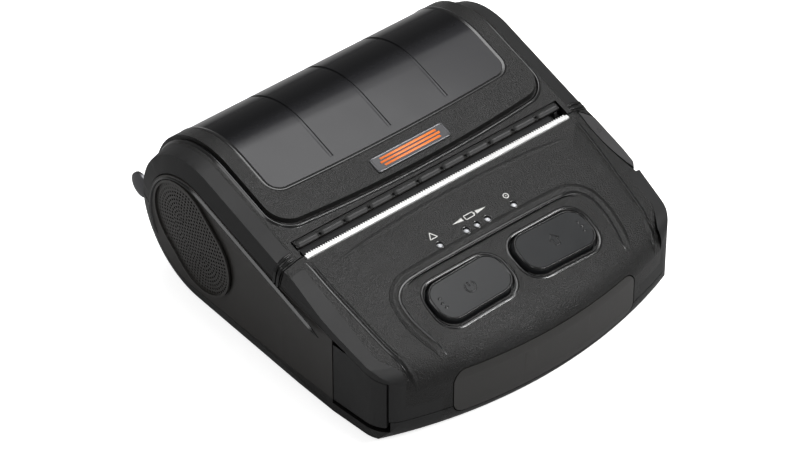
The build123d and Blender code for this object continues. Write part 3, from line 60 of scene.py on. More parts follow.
usual = {  # grain = its size in metres, relief and depth = its bump, spread = change of gloss,
    # tone = change of colour, fine = the grain's share of it, stretch = grain drawn out along X
    "stretch": (1.0, 1.0, 1.0), "depth": 0.3, "spread": 0.05, "metal": 0.0, "specular": 0.5, "tone": 0.14,
    "fine": 0.5, "fineDetail": 2.0, "fineRough": 0.55, "slow": 55.0, "slowDetail": 4.0, "slowRough": 0.6,
    "glossFrom": 0.3, "glossTo": 0.7, "rampHalf": 0.3,
}
finishes = {
    "case_black": {"colour": (0.0125, 0.0118, 0.0110), "rough": 0.38, "grain": 0.00045, "relief": 1.0,
                   "spread": 0.06, "specular": 0.36, "tone": 0.75, "fine": 1.8, "depth": 0.7},
    "side_dark": {"colour": (0.022, 0.0205, 0.019), "rough": 0.40, "grain": 0.0006, "relief": 0.08,
                  "specular": 0.42},
    "rail_rubber": {"colour": (0.0100, 0.0100, 0.0102), "rough": 0.52, "grain": 0.00022, "relief": 0.18,
                    "specular": 0.34},
    "grille_dark": {"colour": (0.026, 0.024, 0.022), "rough": 0.42, "grain": 0.0003, "relief": 0.12,
                    "spread": 0.06},
    "badge_metal": {"colour": (0.030, 0.030, 0.032), "rough": 0.34, "grain": 0.0004, "relief": 0.15,
                    "metal": 0.6},
    "bright_steel": {"colour": (0.86, 0.86, 0.85), "rough": 0.28, "grain": 0.0002, "relief": 0.06,
                     "metal": 0.35, "stretch": (0.04, 1.0, 1.0), "tone": 0.05},
    "dark_steel": {"colour": (0.10, 0.10, 0.105), "rough": 0.34, "grain": 0.0003, "relief": 0.08,
                   "metal": 1.0},
    "platen_rubber": {"colour": (0.028, 0.028, 0.029), "rough": 0.66, "grain": 0.00025, "relief": 0.30},
    "gear_plastic": {"colour": (0.62, 0.60, 0.54), "rough": 0.38, "grain": 0.0005, "relief": 0.05},
    "bush_plastic": {"colour": (0.10, 0.10, 0.10), "rough": 0.40, "grain": 0.0005, "relief": 0.05},
    "head_ceramic": {"colour": (0.46, 0.40, 0.33), "rough": 0.18, "grain": 0.0006, "relief": 0.04},
    "sink_aluminium": {"colour": (0.56, 0.57, 0.58), "rough": 0.34, "grain": 0.0003, "relief": 0.10,
                       "metal": 1.0, "stretch": (0.06, 1.0, 1.0)},
    "inner_black": {"colour": (0.022, 0.022, 0.022), "rough": 0.52, "grain": 0.0005, "relief": 0.30},
    "board_green": {"colour": (0.016, 0.095, 0.040), "rough": 0.30, "grain": 0.0009, "relief": 0.12},
    "lever_grey": {"colour": (0.043, 0.042, 0.043), "rough": 0.30, "grain": 0.0005, "relief": 0.08},
    "button_grey": {"colour": (0.0150, 0.0158, 0.0168), "rough": 0.36, "grain": 0.0003, "relief": 0.10,
                    "specular": 0.28, "spread": 0.04},
    "keypad_rubber": {"colour": (0.17, 0.17, 0.17), "rough": 0.65, "grain": 0.0003, "relief": 0.15},
    "lens_clear": {"colour": (0.52, 0.53, 0.55), "rough": 0.16, "grain": 0.0005, "relief": 0.03},
    "foot_rubber": {"colour": (0.018, 0.018, 0.018), "rough": 0.75, "grain": 0.0003, "relief": 0.30},
    "battery_black": {"colour": (0.0225, 0.0213, 0.0200), "rough": 0.40, "grain": 0.00035, "relief": 0.16},
    "screw_steel": {"colour": (0.34, 0.34, 0.35), "rough": 0.30, "grain": 0.0003, "relief": 0.08,
                    "metal": 1.0},
    "spring_steel": {"colour": (0.44, 0.43, 0.40), "rough": 0.26, "grain": 0.0003, "relief": 0.05,
                     "metal": 1.0},
    # near-black gloss: painted shade where its beads sit in grooves, gaps, recesses, the raised panel's foot and
    # beside the side panels; the own black of the key rims, window rim and split bands
    "groove_black": {"colour": (0.006, 0.006, 0.006), "rough": 0.20, "grain": 0.0008, "relief": 0.04},
    "ink_white": {"colour": (0.62, 0.62, 0.60), "rough": 0.50, "grain": 0.0003, "relief": 0.10},
    "ink_orange": {"colour": (0.88, 0.20, 0.035), "rough": 0.42, "grain": 0.0003, "relief": 0.12},
    # engraved: near-black, painted shade of the engraved signs on the keys; the key bumps share it
    "engraved": {"colour": (0.0045, 0.0045, 0.005), "rough": 0.30, "grain": 0.0004, "relief": 0.08},
}


def addNode(tree, kind, **inputs):
    node = tree.nodes.new(kind)
    for name, value in inputs.items():
        node.inputs[name].default_value = value
    return node


def grainNodes(tree, settings, shader):  # bump = noise of the grain's size, roughness = rough + spread * slow noise
    coords = tree.nodes.new("ShaderNodeTexCoord").outputs["Object"]
    mapping = addNode(tree, "ShaderNodeMapping", Scale=settings["stretch"])
    tree.links.new(coords, mapping.inputs["Vector"])
    fine = addNode(tree, "ShaderNodeTexNoise", Scale=1.0 / settings["grain"], Detail=settings["fineDetail"],
                   Roughness=settings["fineRough"])
    slow = addNode(tree, "ShaderNodeTexNoise", Scale=settings["slow"], Detail=settings["slowDetail"],
                   Roughness=settings["slowRough"])
    tree.links.new(mapping.outputs["Vector"], fine.inputs["Vector"])
    tree.links.new(coords, slow.inputs["Vector"])
    bump = addNode(tree, "ShaderNodeBump", Strength=settings["relief"],
                   Distance=settings["grain"] * settings["depth"])
    tree.links.new(fine.outputs["Fac"], bump.inputs["Height"])
    tree.links.new(bump.outputs["Normal"], shader.inputs["Normal"])
    gloss = addNode(tree, "ShaderNodeMapRange", **{
        "From Min": settings["glossFrom"], "From Max": settings["glossTo"],
        "To Min": settings["rough"] - settings["spread"], "To Max": settings["rough"] + settings["spread"]})
    tree.links.new(slow.outputs["Fac"], gloss.inputs["Value"])
    tree.links.new(gloss.outputs["Result"], shader.inputs["Roughness"])
    return coords, fine.outputs["Fac"], slow.outputs["Fac"]


def newMaterial(name, settings):
    material = bpy.data.materials.new(name)
    material.use_nodes = True
    shader = material.node_tree.nodes["Principled BSDF"]
    shader.inputs["Metallic"].default_value = settings["metal"]
    shader.inputs["Specular IOR Level"].default_value = settings["specular"]
    return material, material.node_tree, shader


def makeFinish(name, settings):  # colour = base * (1 - tone) to base * (1 + tone) by slow noise + fine * grain
    material, tree, shader = newMaterial(name, settings)
    grain, slow = grainNodes(tree, settings, shader)[1:]
    both = tree.nodes.new("ShaderNodeMath")
    both.operation = "MULTIPLY_ADD"
    both.inputs[1].default_value = settings["fine"]
    tree.links.new(grain, both.inputs[0])
    tree.links.new(slow, both.inputs[2])
    ramp = tree.nodes.new("ShaderNodeValToRGB")
    low, high = ramp.color_ramp.elements
    middle = 0.5 + 0.5 * settings["fine"]
    low.position = min(middle - settings["rampHalf"], 1.0)  # the ramp ends at 1
    high.position = min(middle + settings["rampHalf"], 1.0)
    low.color = (*[c * (1.0 - settings["tone"]) for c in settings["colour"]], 1.0)
    high.color = (*[min(1.0, c * (1.0 + settings["tone"])) for c in settings["colour"]], 1.0)
    tree.links.new(both.outputs["Value"], ramp.inputs["Fac"])
    tree.links.new(ramp.outputs["Color"], shader.inputs["Base Color"])
    return material


window = {  # smoked window: base colour painted grey in front as a painted reflection of the overhead lamp, black towards the back, the border broken up by noise
    "front": (0.020, 0.020, 0.022), "rear": (0.0035, 0.0035, 0.004), "reflectionFadeFrom": 0.034, "reflectionFadeTo": 0.044,
    "dither": 0.004, "speck": 2600.0, "speckDetail": 1.0,
    "rough": 0.16, "spread": 0.03, "specular": 0.18, "grain": 0.0011, "relief": 0.02,
}


def makeWindowFinish(settings):  # tone = front to rear by Object Y, pushed back and forth by fine noise; the grey front is a painted reflection
    material, tree, shader = newMaterial("window_smoke", settings)
    coords = grainNodes(tree, settings, shader)[0]
    split = tree.nodes.new("ShaderNodeSeparateXYZ")
    tree.links.new(coords, split.inputs["Vector"])
    speck = addNode(tree, "ShaderNodeTexNoise", Scale=settings["speck"], Detail=settings["speckDetail"])
    tree.links.new(coords, speck.inputs["Vector"])
    push = tree.nodes.new("ShaderNodeMath")
    push.operation = "MULTIPLY_ADD"
    push.inputs[1].default_value = settings["dither"] * 2.0
    tree.links.new(speck.outputs["Fac"], push.inputs[0])
    tree.links.new(split.outputs["Y"], push.inputs[2])
    fade = addNode(tree, "ShaderNodeMapRange", **{"From Min": settings["reflectionFadeFrom"], "From Max": settings["reflectionFadeTo"]})
    fade.interpolation_type = "SMOOTHSTEP"
    tree.links.new(push.outputs["Value"], fade.inputs["Value"])
    ramp = tree.nodes.new("ShaderNodeValToRGB")
    # front colour: painted reflection of the overhead lamp; rear colour: the window's own smoked black
    ramp.color_ramp.elements[0].color = (*settings["front"], 1.0)
    ramp.color_ramp.elements[1].color = (*settings["rear"], 1.0)
    tree.links.new(fade.outputs["Result"], ramp.inputs["Fac"])
    tree.links.new(ramp.outputs["Color"], shader.inputs["Base Color"])
    return material


materials = {name: makeFinish(name, {**usual, **settings}) for name, settings in finishes.items()}
materials["window_smoke"] = makeWindowFinish({**usual, **window})
slotOf = {row["node"]: row["material_slot"] for row in frame["record"]["subparts"]}
for node, thing in frame["nodes"].items():
    thing.data.materials.clear()
    thing.data.materials.append(materials[slotOf[node]])
bodyOf = {node: name for name, group in frame["record"]["behaviour"]["bodies"].items() for node in group}
print("finishes made")


# Surfaces worked out on grids

def gridFaces(rows, columns, closedRows=False, closedColumns=False):  # quads of a grid, wound the same way
    r = np.arange(rows if closedRows else rows - 1)
    c = np.arange(columns if closedColumns else columns - 1)
    a, b = np.meshgrid(r, c, indexing="ij")
    nextA, nextB = (a + 1) % rows, (b + 1) % columns
    return np.stack([a * columns + b, nextA * columns + b, nextA * columns + nextB, a * columns + nextB],
                    axis=-1).reshape(-1, 4)


def endCaps(rows, columns):  # one face over each end of a tube
    first = list(range(columns))
    last = [(rows - 1) * columns + c for c in reversed(range(columns))]
    return first, last


def newObject(name, mesh):
    thing = bpy.data.objects.new(name, mesh)
    bpy.context.scene.collection.objects.link(thing)
    return thing


def makeMesh(name, points, faces, caps=()):  # points in millimetres
    mesh = bpy.data.meshes.new(name)
    mesh.from_pydata((np.asarray(points).reshape(-1, 3) * mm).tolist(), [], [*faces.tolist(), *caps])
    return mesh


def makePiece(name, points, faces, material, ridesOn, caps=(), smooth=True):
    mesh = makeMesh(name, points, faces, caps)
    mesh.polygons.foreach_set("use_smooth", np.full(len(mesh.polygons), smooth))
    mesh.update()
    mesh.materials.append(materials[material])
    piece = newObject(name, mesh)
    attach(piece, ridesOn)
    return piece


def changeMesh(mesh, change):  # runs one change on a mesh's own corners and faces
    work = bmesh.new()
    work.from_mesh(mesh)
    change(work)
    work.to_mesh(mesh)
    work.free()


# Mouldings: the frame's own shapes with shared corners, smooth curves and a small round on every edge

edgeRounds = {  # radius of the edges' rounds, in millimetres
    "lid_shell": 0.35, "lid_window": 0.30, "front_cover": 0.30, "lower_case": 0.25, "battery_pack": 0.45,
    "side_panel_left": 0.30, "side_panel_right": 0.30, "port_cover": 0.40, "release_lever": 0.35,
    "lid_rail_left": 0.30, "lid_rail_right": 0.30, "front_rail_left": 0.30, "front_rail_right": 0.30,
    "corner_bumper_left": 0.25, "corner_bumper_right": 0.25, "power_button": 0.35, "feed_button": 0.35,
    "badge_plate": 0.12, "exit_lip": 0.20, "hinge_bar": 0.30, "platen_roller": 0.15, "rubber_feet": 0.30,
    "platen_bushes": 0.12, "platen_carrier": 0.15, "bay_liner": 0.15, "media_guide_left": 0.15,
    "media_guide_right": 0.15, "heat_sink": 0.12, "tear_bar": 0.06, "dc_jack": 0.15,
}
moulding = {"merge": 2e-6, "flatAngle": math.radians(0.5), "sharpAngle": math.radians(28.0), "segments": 2}
nose = {  # the front's upper rim is rolled over: radius by node, then the reach and turn of the solid that cuts it
    "radius": {"front_cover": 14.0, "battery_pack": 14.0, "front_rail_left": 8.0, "front_rail_right": 8.0},
    "inner": 90.0, "outer": 186.0, "turn": math.radians(34.0), "rows": 61, "steps": 36,
    "lift": 0.02, "bottom": -5.0,
}


def frontRoll(radius):  # height of the front's sharp rim, then reach and height of the middle of its roll
    slope = body["noseSlope"]
    rimZ = body["panelFront"][1] - body["noseSink"] - (body["panelFront"][0] - body["frontY"]) * math.tan(slope)
    return rimZ, body["bowRadius"] - radius, rimZ + radius * math.tan(slope) - radius / math.cos(slope)


def noseSolid(settings, radius):  # roof = the cone, then middle + radius * (sin, cos) of the turn, swept by the bow
    slope = body["noseSlope"]
    rimZ, rollIn, rollZ = frontRoll(radius)
    turn = np.linspace(slope, math.pi / 2, settings["steps"])
    inner, outer = settings["inner"], settings["outer"]
    reach = np.concatenate([[inner, inner], rollIn + radius * np.sin(turn), [outer, outer]])
    coneZ = rimZ + (body["bowRadius"] - inner) * math.tan(slope)
    height = np.concatenate([[settings["bottom"], coneZ], rollZ + radius * np.cos(turn),
                             [rollZ, settings["bottom"]]])
    height[1:3] += settings["lift"]
    angle = np.linspace(-settings["turn"], settings["turn"], settings["rows"])[:, None]
    y = body["frontY"] + body["bowRadius"] - reach * np.cos(angle)
    grid = np.stack(np.broadcast_arrays(reach * np.sin(angle), y, height), axis=-1)
    rows, columns = grid.shape[:2]
    mesh = makeMesh("noseSolid", grid, gridFaces(rows, columns, False, True), endCaps(rows, columns))
    changeMesh(mesh, lambda work: bmesh.ops.recalc_face_normals(work, faces=work.faces[:]))
    return newObject("noseSolid", mesh)


def rolledMesh(mesh, solid):  # the part of a mesh that lies under the rolled front
    piece = newObject("uncut", mesh)
    cut = piece.modifiers.new("roll", "BOOLEAN")
    cut.operation = "INTERSECT"
    cut.solver = "EXACT"
    cut.object = solid
    bpy.context.view_layer.update()
    result = bpy.data.meshes.new_from_object(piece.evaluated_get(bpy.context.evaluated_depsgraph_get()))
    bpy.data.objects.remove(piece)
    return result


def roundedCopy(node, radius, settings):
    work = bmesh.new()
    work.from_mesh(frame["nodes"][node].data)
    bmesh.ops.remove_doubles(work, verts=work.verts[:], dist=settings["merge"])
    bmesh.ops.dissolve_limit(work, angle_limit=settings["flatAngle"], verts=work.verts[:], edges=work.edges[:])
    mesh = bpy.data.meshes.new(node + "_moulding")
    work.to_mesh(mesh)
    work.free()
    rolled = node in nose["radius"]
    if rolled:
        solid = noseSolid(nose, nose["radius"][node])
        mesh = rolledMesh(mesh, solid)
        mesh.materials.clear()
        bpy.data.objects.remove(solid)
    mesh.polygons.foreach_set("use_smooth", np.ones(len(mesh.polygons), bool))
    mesh.set_sharp_from_angle(angle=settings["sharpAngle"])
    mesh.materials.append(materials[slotOf[node]])
    piece = newObject(node + "_moulding", mesh)
    bevel = piece.modifiers.new("rounds", "BEVEL")
    bevel.width = radius * mm
    bevel.segments = settings["segments"]
    bevel.limit_method = "ANGLE"
    bevel.angle_limit = settings["sharpAngle"]
    bevel.use_clamp_overlap = True
    bevel.harden_normals = not rolled
    if rolled:
        even = piece.modifiers.new("even", "WEIGHTED_NORMAL")
        even.keep_sharp = True
    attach(piece, bodyOf[node])
    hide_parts(node)


for node, radius in edgeRounds.items():
    roundedCopy(node, radius, moulding)
print("mouldings rounded")


# Places on the lid and the panel

def lidPoint(along, lift):  # side outline: straight up to the roll, then round it; along = 0 where the round starts
    radius = body["shellRadius"]
    topY = body["rollY"] - radius * math.sin(lidSlope)
    topZ = body["rollZ"] + radius * math.cos(lidSlope)
    along, lift = np.broadcast_arrays(np.asarray(along, float), lift)
    turn = np.maximum(along, 0.0) / radius - lidSlope
    flat = along < 0
    y = np.where(flat, topY + along * math.cos(lidSlope) - lift * math.sin(lidSlope),
                 body["rollY"] + (radius + lift) * np.sin(turn))
    z = np.where(flat, topZ + along * math.sin(lidSlope) + lift * math.cos(lidSlope),
                 body["rollZ"] + (radius + lift) * np.cos(turn))
    return y, z


def alongOf(y):  # along of a point of the straight run, from its Y
    topY = body["rollY"] - body["shellRadius"] * math.sin(lidSlope)
    return (y - topY) / math.cos(lidSlope)


def panelHeight(x, y, sunk=0.0):  # lower of the panel's arc along Y and of the bowed front's cone with its roll
    (y1, z1), (y2, z2), (y3, z3) = (body["tearY"], tearZ), body["panelMid"], body["panelFront"]
    top = np.array([[y2 - y1, z2 - z1], [y3 - y1, z3 - z1]])
    centre = np.linalg.solve(2 * top, (top ** 2).sum(1)) + (y1, z1)
    arcRadius = math.hypot(y1 - centre[0], z1 - centre[1])
    sign = 1.0 if centre[1] < z2 else -1.0
    arc = centre[1] + sign * np.sqrt(arcRadius ** 2 - (y - centre[0]) ** 2)
    slope, radius = body["noseSlope"], body["noseRadius"]
    rimZ, rollIn, rollZ = frontRoll(radius)
    reach = np.hypot(x, y - body["frontY"] - body["bowRadius"])
    cone = rimZ + (body["bowRadius"] - reach) * math.tan(slope)
    roll = rollZ + np.sqrt(np.maximum(radius ** 2 - (reach - rollIn) ** 2, 0.0))
    dome = np.where(reach > rollIn + radius * math.sin(slope), roll, cone)
    return np.minimum(arc - sunk, dome)


def panelFrame(path, sunk=0.0, step=0.05):  # points on the panel over a plan path, with normals from small steps
    x, y = path[:, 0], path[:, 1]
    slopeX = (panelHeight(x + step, y, sunk) - panelHeight(x - step, y, sunk)) / (2 * step)
    slopeY = (panelHeight(x, y + step, sunk) - panelHeight(x, y - step, sunk)) / (2 * step)
    normals = np.stack([-slopeX, -slopeY, np.ones_like(x)], axis=-1)
    points = np.stack([x, y, panelHeight(x, y, sunk)], axis=-1)
    return points, normals / np.linalg.norm(normals, axis=1, keepdims=True)


section = {"points": 9, "tip": 0.15}  # points across a bead, and the share of its width left at a faded end


def bead(name, points, normals, width, height, material, ridesOn, closed=False, fade=0.0, flat=False, sink=0.25):
    # a half-wave (or flat) section carried along the path: up = height * (1 + cos) / 2, its foot sunk in the surface
    points, normals = np.asarray(points, float), np.asarray(normals, float)
    if closed:
        tangents = np.roll(points, -1, axis=0) - np.roll(points, 1, axis=0)
    else:
        tangents = np.gradient(points, axis=0)
    tangents /= np.linalg.norm(tangents, axis=1, keepdims=True)
    sides = np.cross(tangents, normals)
    sides /= np.linalg.norm(sides, axis=1, keepdims=True)
    across = np.linspace(-1.0, 1.0, 2 if flat else section["points"])
    rise = np.ones(2) if flat else (1.0 + np.cos(np.pi * across)) / 2.0
    run = np.concatenate([[0.0], np.cumsum(np.linalg.norm(np.diff(points, axis=0), axis=1))])
    ends = np.ones(len(points)) if closed or not fade else np.clip(np.minimum(run, run[-1] - run) / fade, 0.0, 1.0)
    ends = ends * ends * (3.0 - 2.0 * ends)
    halfWidth = np.broadcast_to(width / 2.0, (len(points),)) * (section["tip"] + (1.0 - section["tip"]) * ends)
    down = np.concatenate([np.zeros(len(across)), [sink, sink]])
    across = np.concatenate([across, [1.0, -1.0]])
    up = np.concatenate([rise, [0.0, 0.0]])
    lift = height * ends[:, None] * up[None, :] - down[None, :]
    grid = (points[:, None, :] + sides[:, None, :] * (halfWidth[:, None, None] * across[None, :, None])
            + normals[:, None, :] * lift[:, :, None])
    rows, columns = grid.shape[:2]
    caps = () if closed else endCaps(rows, columns)
    return makePiece(name, grid, gridFaces(rows, columns, closed, True), material, ridesOn, caps)


def resampled(path, count):  # the same path with count points, evenly spaced along it
    path = np.asarray(path, float)
    run = np.concatenate([[0.0], np.cumsum(np.linalg.norm(np.diff(path, axis=0), axis=1))])
    at = np.linspace(0.0, run[-1], count)
    return np.stack([np.interp(at, run, path[:, k]) for k in range(path.shape[1])], axis=-1)


def roundedLoop(halfX, halfY, radius, perCorner=8, count=120):  # rounded rectangle, a quarter turn at each corner
    turn = np.linspace(0.0, math.pi / 2, perCorner)
    corners = []
    for quarter, (sx, sy) in enumerate(((1, 1), (-1, 1), (-1, -1), (1, -1))):
        angle = turn + quarter * math.pi / 2
        corners.append(np.stack([sx * (halfX - radius) + radius * np.cos(angle),
                                 sy * (halfY - radius) + radius * np.sin(angle)], axis=-1))
    loop = np.concatenate(corners)
    return resampled(np.concatenate([loop, loop[:1]]), count)[:-1]


def ring(centre, radius, count=28, start=0.0, sweep=2 * math.pi):  # centre + radius * (cos, sin)
    angle = start + np.linspace(0.0, sweep, count, endpoint=sweep < 2 * math.pi - 1e-6)
    return np.stack([centre[0] + radius * np.cos(angle), centre[1] + radius * np.sin(angle)], axis=-1)


def curve(points, count):  # smooth cubic through the points, its slopes taken from their neighbours
    points = np.asarray(points, float)
    slopes = np.gradient(points, axis=0)
    at = np.linspace(0.0, len(points) - 1.0, count * 4)
    n = np.minimum(at.astype(int), len(points) - 2)
    t = (at - n)[:, None]
    path = ((2 * t ** 3 - 3 * t ** 2 + 1) * points[n] + (t ** 3 - 2 * t ** 2 + t) * slopes[n]
            + (3 * t ** 2 - 2 * t ** 3) * points[n + 1] + (t ** 3 - t ** 2) * slopes[n + 1])
    return resampled(path, count)


def beside(path, offset):  # the same plan path moved sideways
    along = np.gradient(path, axis=0)
    along /= np.linalg.norm(along, axis=1, keepdims=True)
    return path + offset * np.stack([-along[:, 1], along[:, 0]], axis=-1)


sideWords = ((-1, "Left"), (1, "Right"))
keyWords = ((-1, "Power", "power_key"), (1, "Feed", "feed_key"))


# Panel: ridges beside it, the bowed step behind the lamps, the field's moulding, wells and lamps; their near-black
# lines in grooves, gaps and recesses are painted shade

ridge = {  # three lines side by side, the outer one a groove drawn as a near-black line of painted shade, that flow into a bulge over the front's corner
    "path": ((-60.3, -16.0), (-59.8, -28.7), (-58.6, -43.0), (-57.4, -55.0), (-56.3, -60.5), (-55.6, -64.0),
             (-54.8, -67.0)),
    "points": 90, "step": 0.85, "widths": (0.9, 0.45, 0.45), "heights": (0.05, 0.26, 0.20), "fade": 5.0,
    "bulge": ((-56.2, -57.5), (-54.9, -61.0), (-54.3, -64.5), (-53.6, -67.5)),
    "bulgePoints": 40, "bulgeWidth": 2.6, "bulgeHeight": 0.5, "bulgeFade": 4.5,
}


def makeRidges(settings):
    for side, word in sideWords:
        path = curve(settings["path"], settings["points"]) * (-side, 1.0)
        for n, (width, height) in enumerate(zip(settings["widths"], settings["heights"])):
            line = beside(path, -side * n * settings["step"])
            # the first line, the groove, is near-black: painted shade
            bead(f"panelRidge{word}{n + 1}", *panelFrame(line), width, height,
                 "case_black" if n else "groove_black", "base", fade=settings["fade"])
        bulge = curve(settings["bulge"], settings["bulgePoints"]) * (-side, 1.0)
        bead(f"panelBulge{word}", *panelFrame(bulge), settings["bulgeWidth"], settings["bulgeHeight"],
             "case_black", "base", fade=settings["bulgeFade"])


step = {"end": 56.0, "nearY": -18.9, "endY": -22.3, "points": 140, "width": 2.4, "height": 0.28, "fade": 22.0}


def makeStep(settings):  # y = near end + bow * (x / end) squared
    x = np.linspace(-settings["end"], settings["end"], settings["points"])
    y = settings["nearY"] + (settings["endY"] - settings["nearY"]) * (x / settings["end"]) ** 2
    bead("panelStep", *panelFrame(np.stack([x, y], axis=-1)), settings["width"], settings["height"], "case_black",
         "base", fade=settings["fade"])


field = {  # the sunk field round the keys: left half of its edge, then its moulding and the dark line beside it, painted shade of the groove there
    "half": ((-42.6, -67.6), (-43.2, -63.5), (-44.6, -57.0), (-45.3, -50.5), (-44.0, -43.5), (-39.2, -39.3),
             (-31.0, -38.1), (-15.0, -37.7), (0.0, -37.6)),
    "points": 260, "width": 3.2, "height": 0.5, "fade": 9.0, "inset": 2.1, "line": 1.1, "lineHeight": 0.06,
    "sink": 0.8,
    "wellAt": (18.9, -53.3), "wellHalf": (17.2, 9.6), "wellCorner": 7.6, "wellWidth": 1.3, "wellHeight": 0.22,
    "slot": ((-1.1, -51.4), (-1.1, -56.6)), "slotPoints": 12, "slotWidth": 0.9, "slotHeight": 0.22, "slotFade": 1.2,
}


def makeField(settings):
    left = np.array(settings["half"])
    path = curve(np.concatenate([left, left[-2::-1] * (-1.0, 1.0)]), settings["points"])
    bead("fieldMoulding", *panelFrame(path), settings["width"], settings["height"], "case_black", "base",
         fade=settings["fade"])
    # a near-black line inside the moulding: painted shade of the groove
    bead("fieldGrooveShade", *panelFrame(beside(path, -settings["inset"])), settings["line"], settings["lineHeight"],
         "groove_black", "base", fade=settings["fade"])
    for side, word in ((-1, "Power"), (1, "Feed")):
        loop = roundedLoop(*settings["wellHalf"], settings["wellCorner"])
        loop = loop + (side * settings["wellAt"][0], settings["wellAt"][1])
        # near-black bead in the gap round each key: painted shade
        bead(f"well{word}", *panelFrame(loop, settings["sink"]), settings["wellWidth"], settings["wellHeight"],
             "groove_black", "base", closed=True)
    slot = resampled(settings["slot"], settings["slotPoints"])
    # the slot is a near-black bead: painted shade of the slot
    bead("slotShade", *panelFrame(slot, settings["sink"]), settings["slotWidth"], settings["slotHeight"],
         "groove_black", "base", fade=settings["slotFade"])


lamps = {"x": (-16.57, -4.71, 0.0, 4.71, 16.57), "y": -34.6, "rim": 1.45, "width": 0.55, "height": 0.12}


def makeLamps(settings):
    for n, x in enumerate(settings["x"]):
        # near-black ring round each lamp: painted shade of its recess
        bead(f"lampRecessShade{n + 1}", *panelFrame(ring((x, settings["y"]), settings["rim"])), settings["width"],
             settings["height"], "groove_black", "base", closed=True)


makeRidges(ridge)
makeStep(step)
makeField(field)
makeLamps(lamps)
print("panel mouldings made")


# Printed marks: generic signs over the lamps, engraved signs drawn as flat near-black marks of painted shade, and
# bumps on the keys

ink = {"height": 0.05, "sink": 0.1}
signs = {
    "line": 0.34, "y": -30.4, "warnX": -16.57, "warnSize": 1.5, "warnFoot": 0.75, "warnPoints": 40,
    "cellHalf": (1.9, 0.85), "cellCorner": 0.3, "nub": 0.35, "wedge": (3.0, 7.4), "wedgeHeight": 1.5,
    "wedgeTip": 0.02, "wedgePoints": 12, "readyX": 16.57, "readySize": 0.95, "readyDot": 0.22,
}
keys = {
    "at": (18.9, -53.3), "tilt": math.radians(18.7), "roll": math.radians(2.5), "proud": 0.9,
    "line": 0.62, "powerSize": 2.0, "powerGap": math.radians(38.0), "powerPoints": 30,
    "powerBar": ((0.0, 0.35), (0.0, 1.2), (0.0, 2.1)),
    "arrow": ((-0.75, -1.7), (-0.75, 0.3), (-1.6, 0.3), (0.0, 2.1), (1.6, 0.3), (0.75, 0.3), (0.75, -1.7),
              (-0.75, -1.7)),
    "arrowSize": 1.2, "arrowLine": 0.8, "arrowPoints": 60,
    "bumpX": 12.4, "bumpBow": 0.35, "bumpStep": 1.9, "bumpAlong": (-0.75, -0.25, 0.25, 0.75),
    "bumpWidth": 1.1, "bumpHeight": 0.26, "bumpFade": 0.5,
    "rimHalf": (15.2, 7.7), "rimCorner": 5.9, "rimWidth": 0.9, "rimHeight": 0.30,
}


def flatMark(name, path, width, material, closed=False, frameOf=panelFrame, ridesOn="base"):
    return bead(name, *frameOf(np.asarray(path, float)), width, ink["height"], material, ridesOn, closed=closed,
                flat=True, sink=ink["sink"])


def makeLampSigns(settings):
    y, size, foot = settings["y"], settings["warnSize"], settings["warnSize"] * settings["warnFoot"]
    triangle = np.array([(-size, -foot), (size, -foot), (0.0, size), (-size, -foot)])
    flatMark("warnSign", resampled(triangle, settings["warnPoints"])[:-1] + (settings["warnX"], y),
             settings["line"], "ink_white", True)
    flatMark("cellSign", roundedLoop(*settings["cellHalf"], settings["cellCorner"]) + (0.0, y), settings["line"],
             "ink_white", True)
    nub = settings["nub"]
    nubX = settings["cellHalf"][0] + nub
    flatMark("cellNub", [(nubX, y - nub), (nubX, y + nub)], nub, "ink_white")
    near, far = settings["wedge"]
    for side, word in sideWords:  # width = height * the share of the way left to the tip
        x = np.linspace(near, far, settings["wedgePoints"])
        width = settings["wedgeHeight"] * (far - x) / (far - near) + settings["wedgeTip"]
        flatMark(f"wedge{word}", np.stack([side * x, np.full_like(x, y)], axis=-1), width, "ink_white")
    flatMark("readySign", ring((settings["readyX"], y), settings["readySize"]), settings["line"], "ink_white", True)
    dot = settings["readyDot"]
    flatMark("readyDot", [(settings["readyX"] - dot, y), (settings["readyX"] + dot, y)], 2.0 * dot, "ink_white")


def keyFrame(side):  # the key's top: a plane tilted with the panel and rolled outwards
    tilt, roll = keys["tilt"], keys["roll"]
    across = np.array([math.cos(roll), 0.0, -side * math.sin(roll)])
    normal = np.array([side * math.sin(roll) * math.cos(tilt), -math.cos(roll) * math.sin(tilt),
                       math.cos(roll) * math.cos(tilt)])
    along = np.cross(normal, across)
    reach = math.hypot(keys["at"][0], keys["at"][1] - body["frontY"] - body["bowRadius"])
    z = frontRoll(0.0)[0] + (body["bowRadius"] - reach) * math.tan(body["noseSlope"])
    origin = np.array([side * keys["at"][0], keys["at"][1], z]) + normal * keys["proud"]

    def place(path):
        points = origin + path[:, :1] * across + path[:, 1:] * along
        return points, np.broadcast_to(normal, points.shape).copy()
    return place


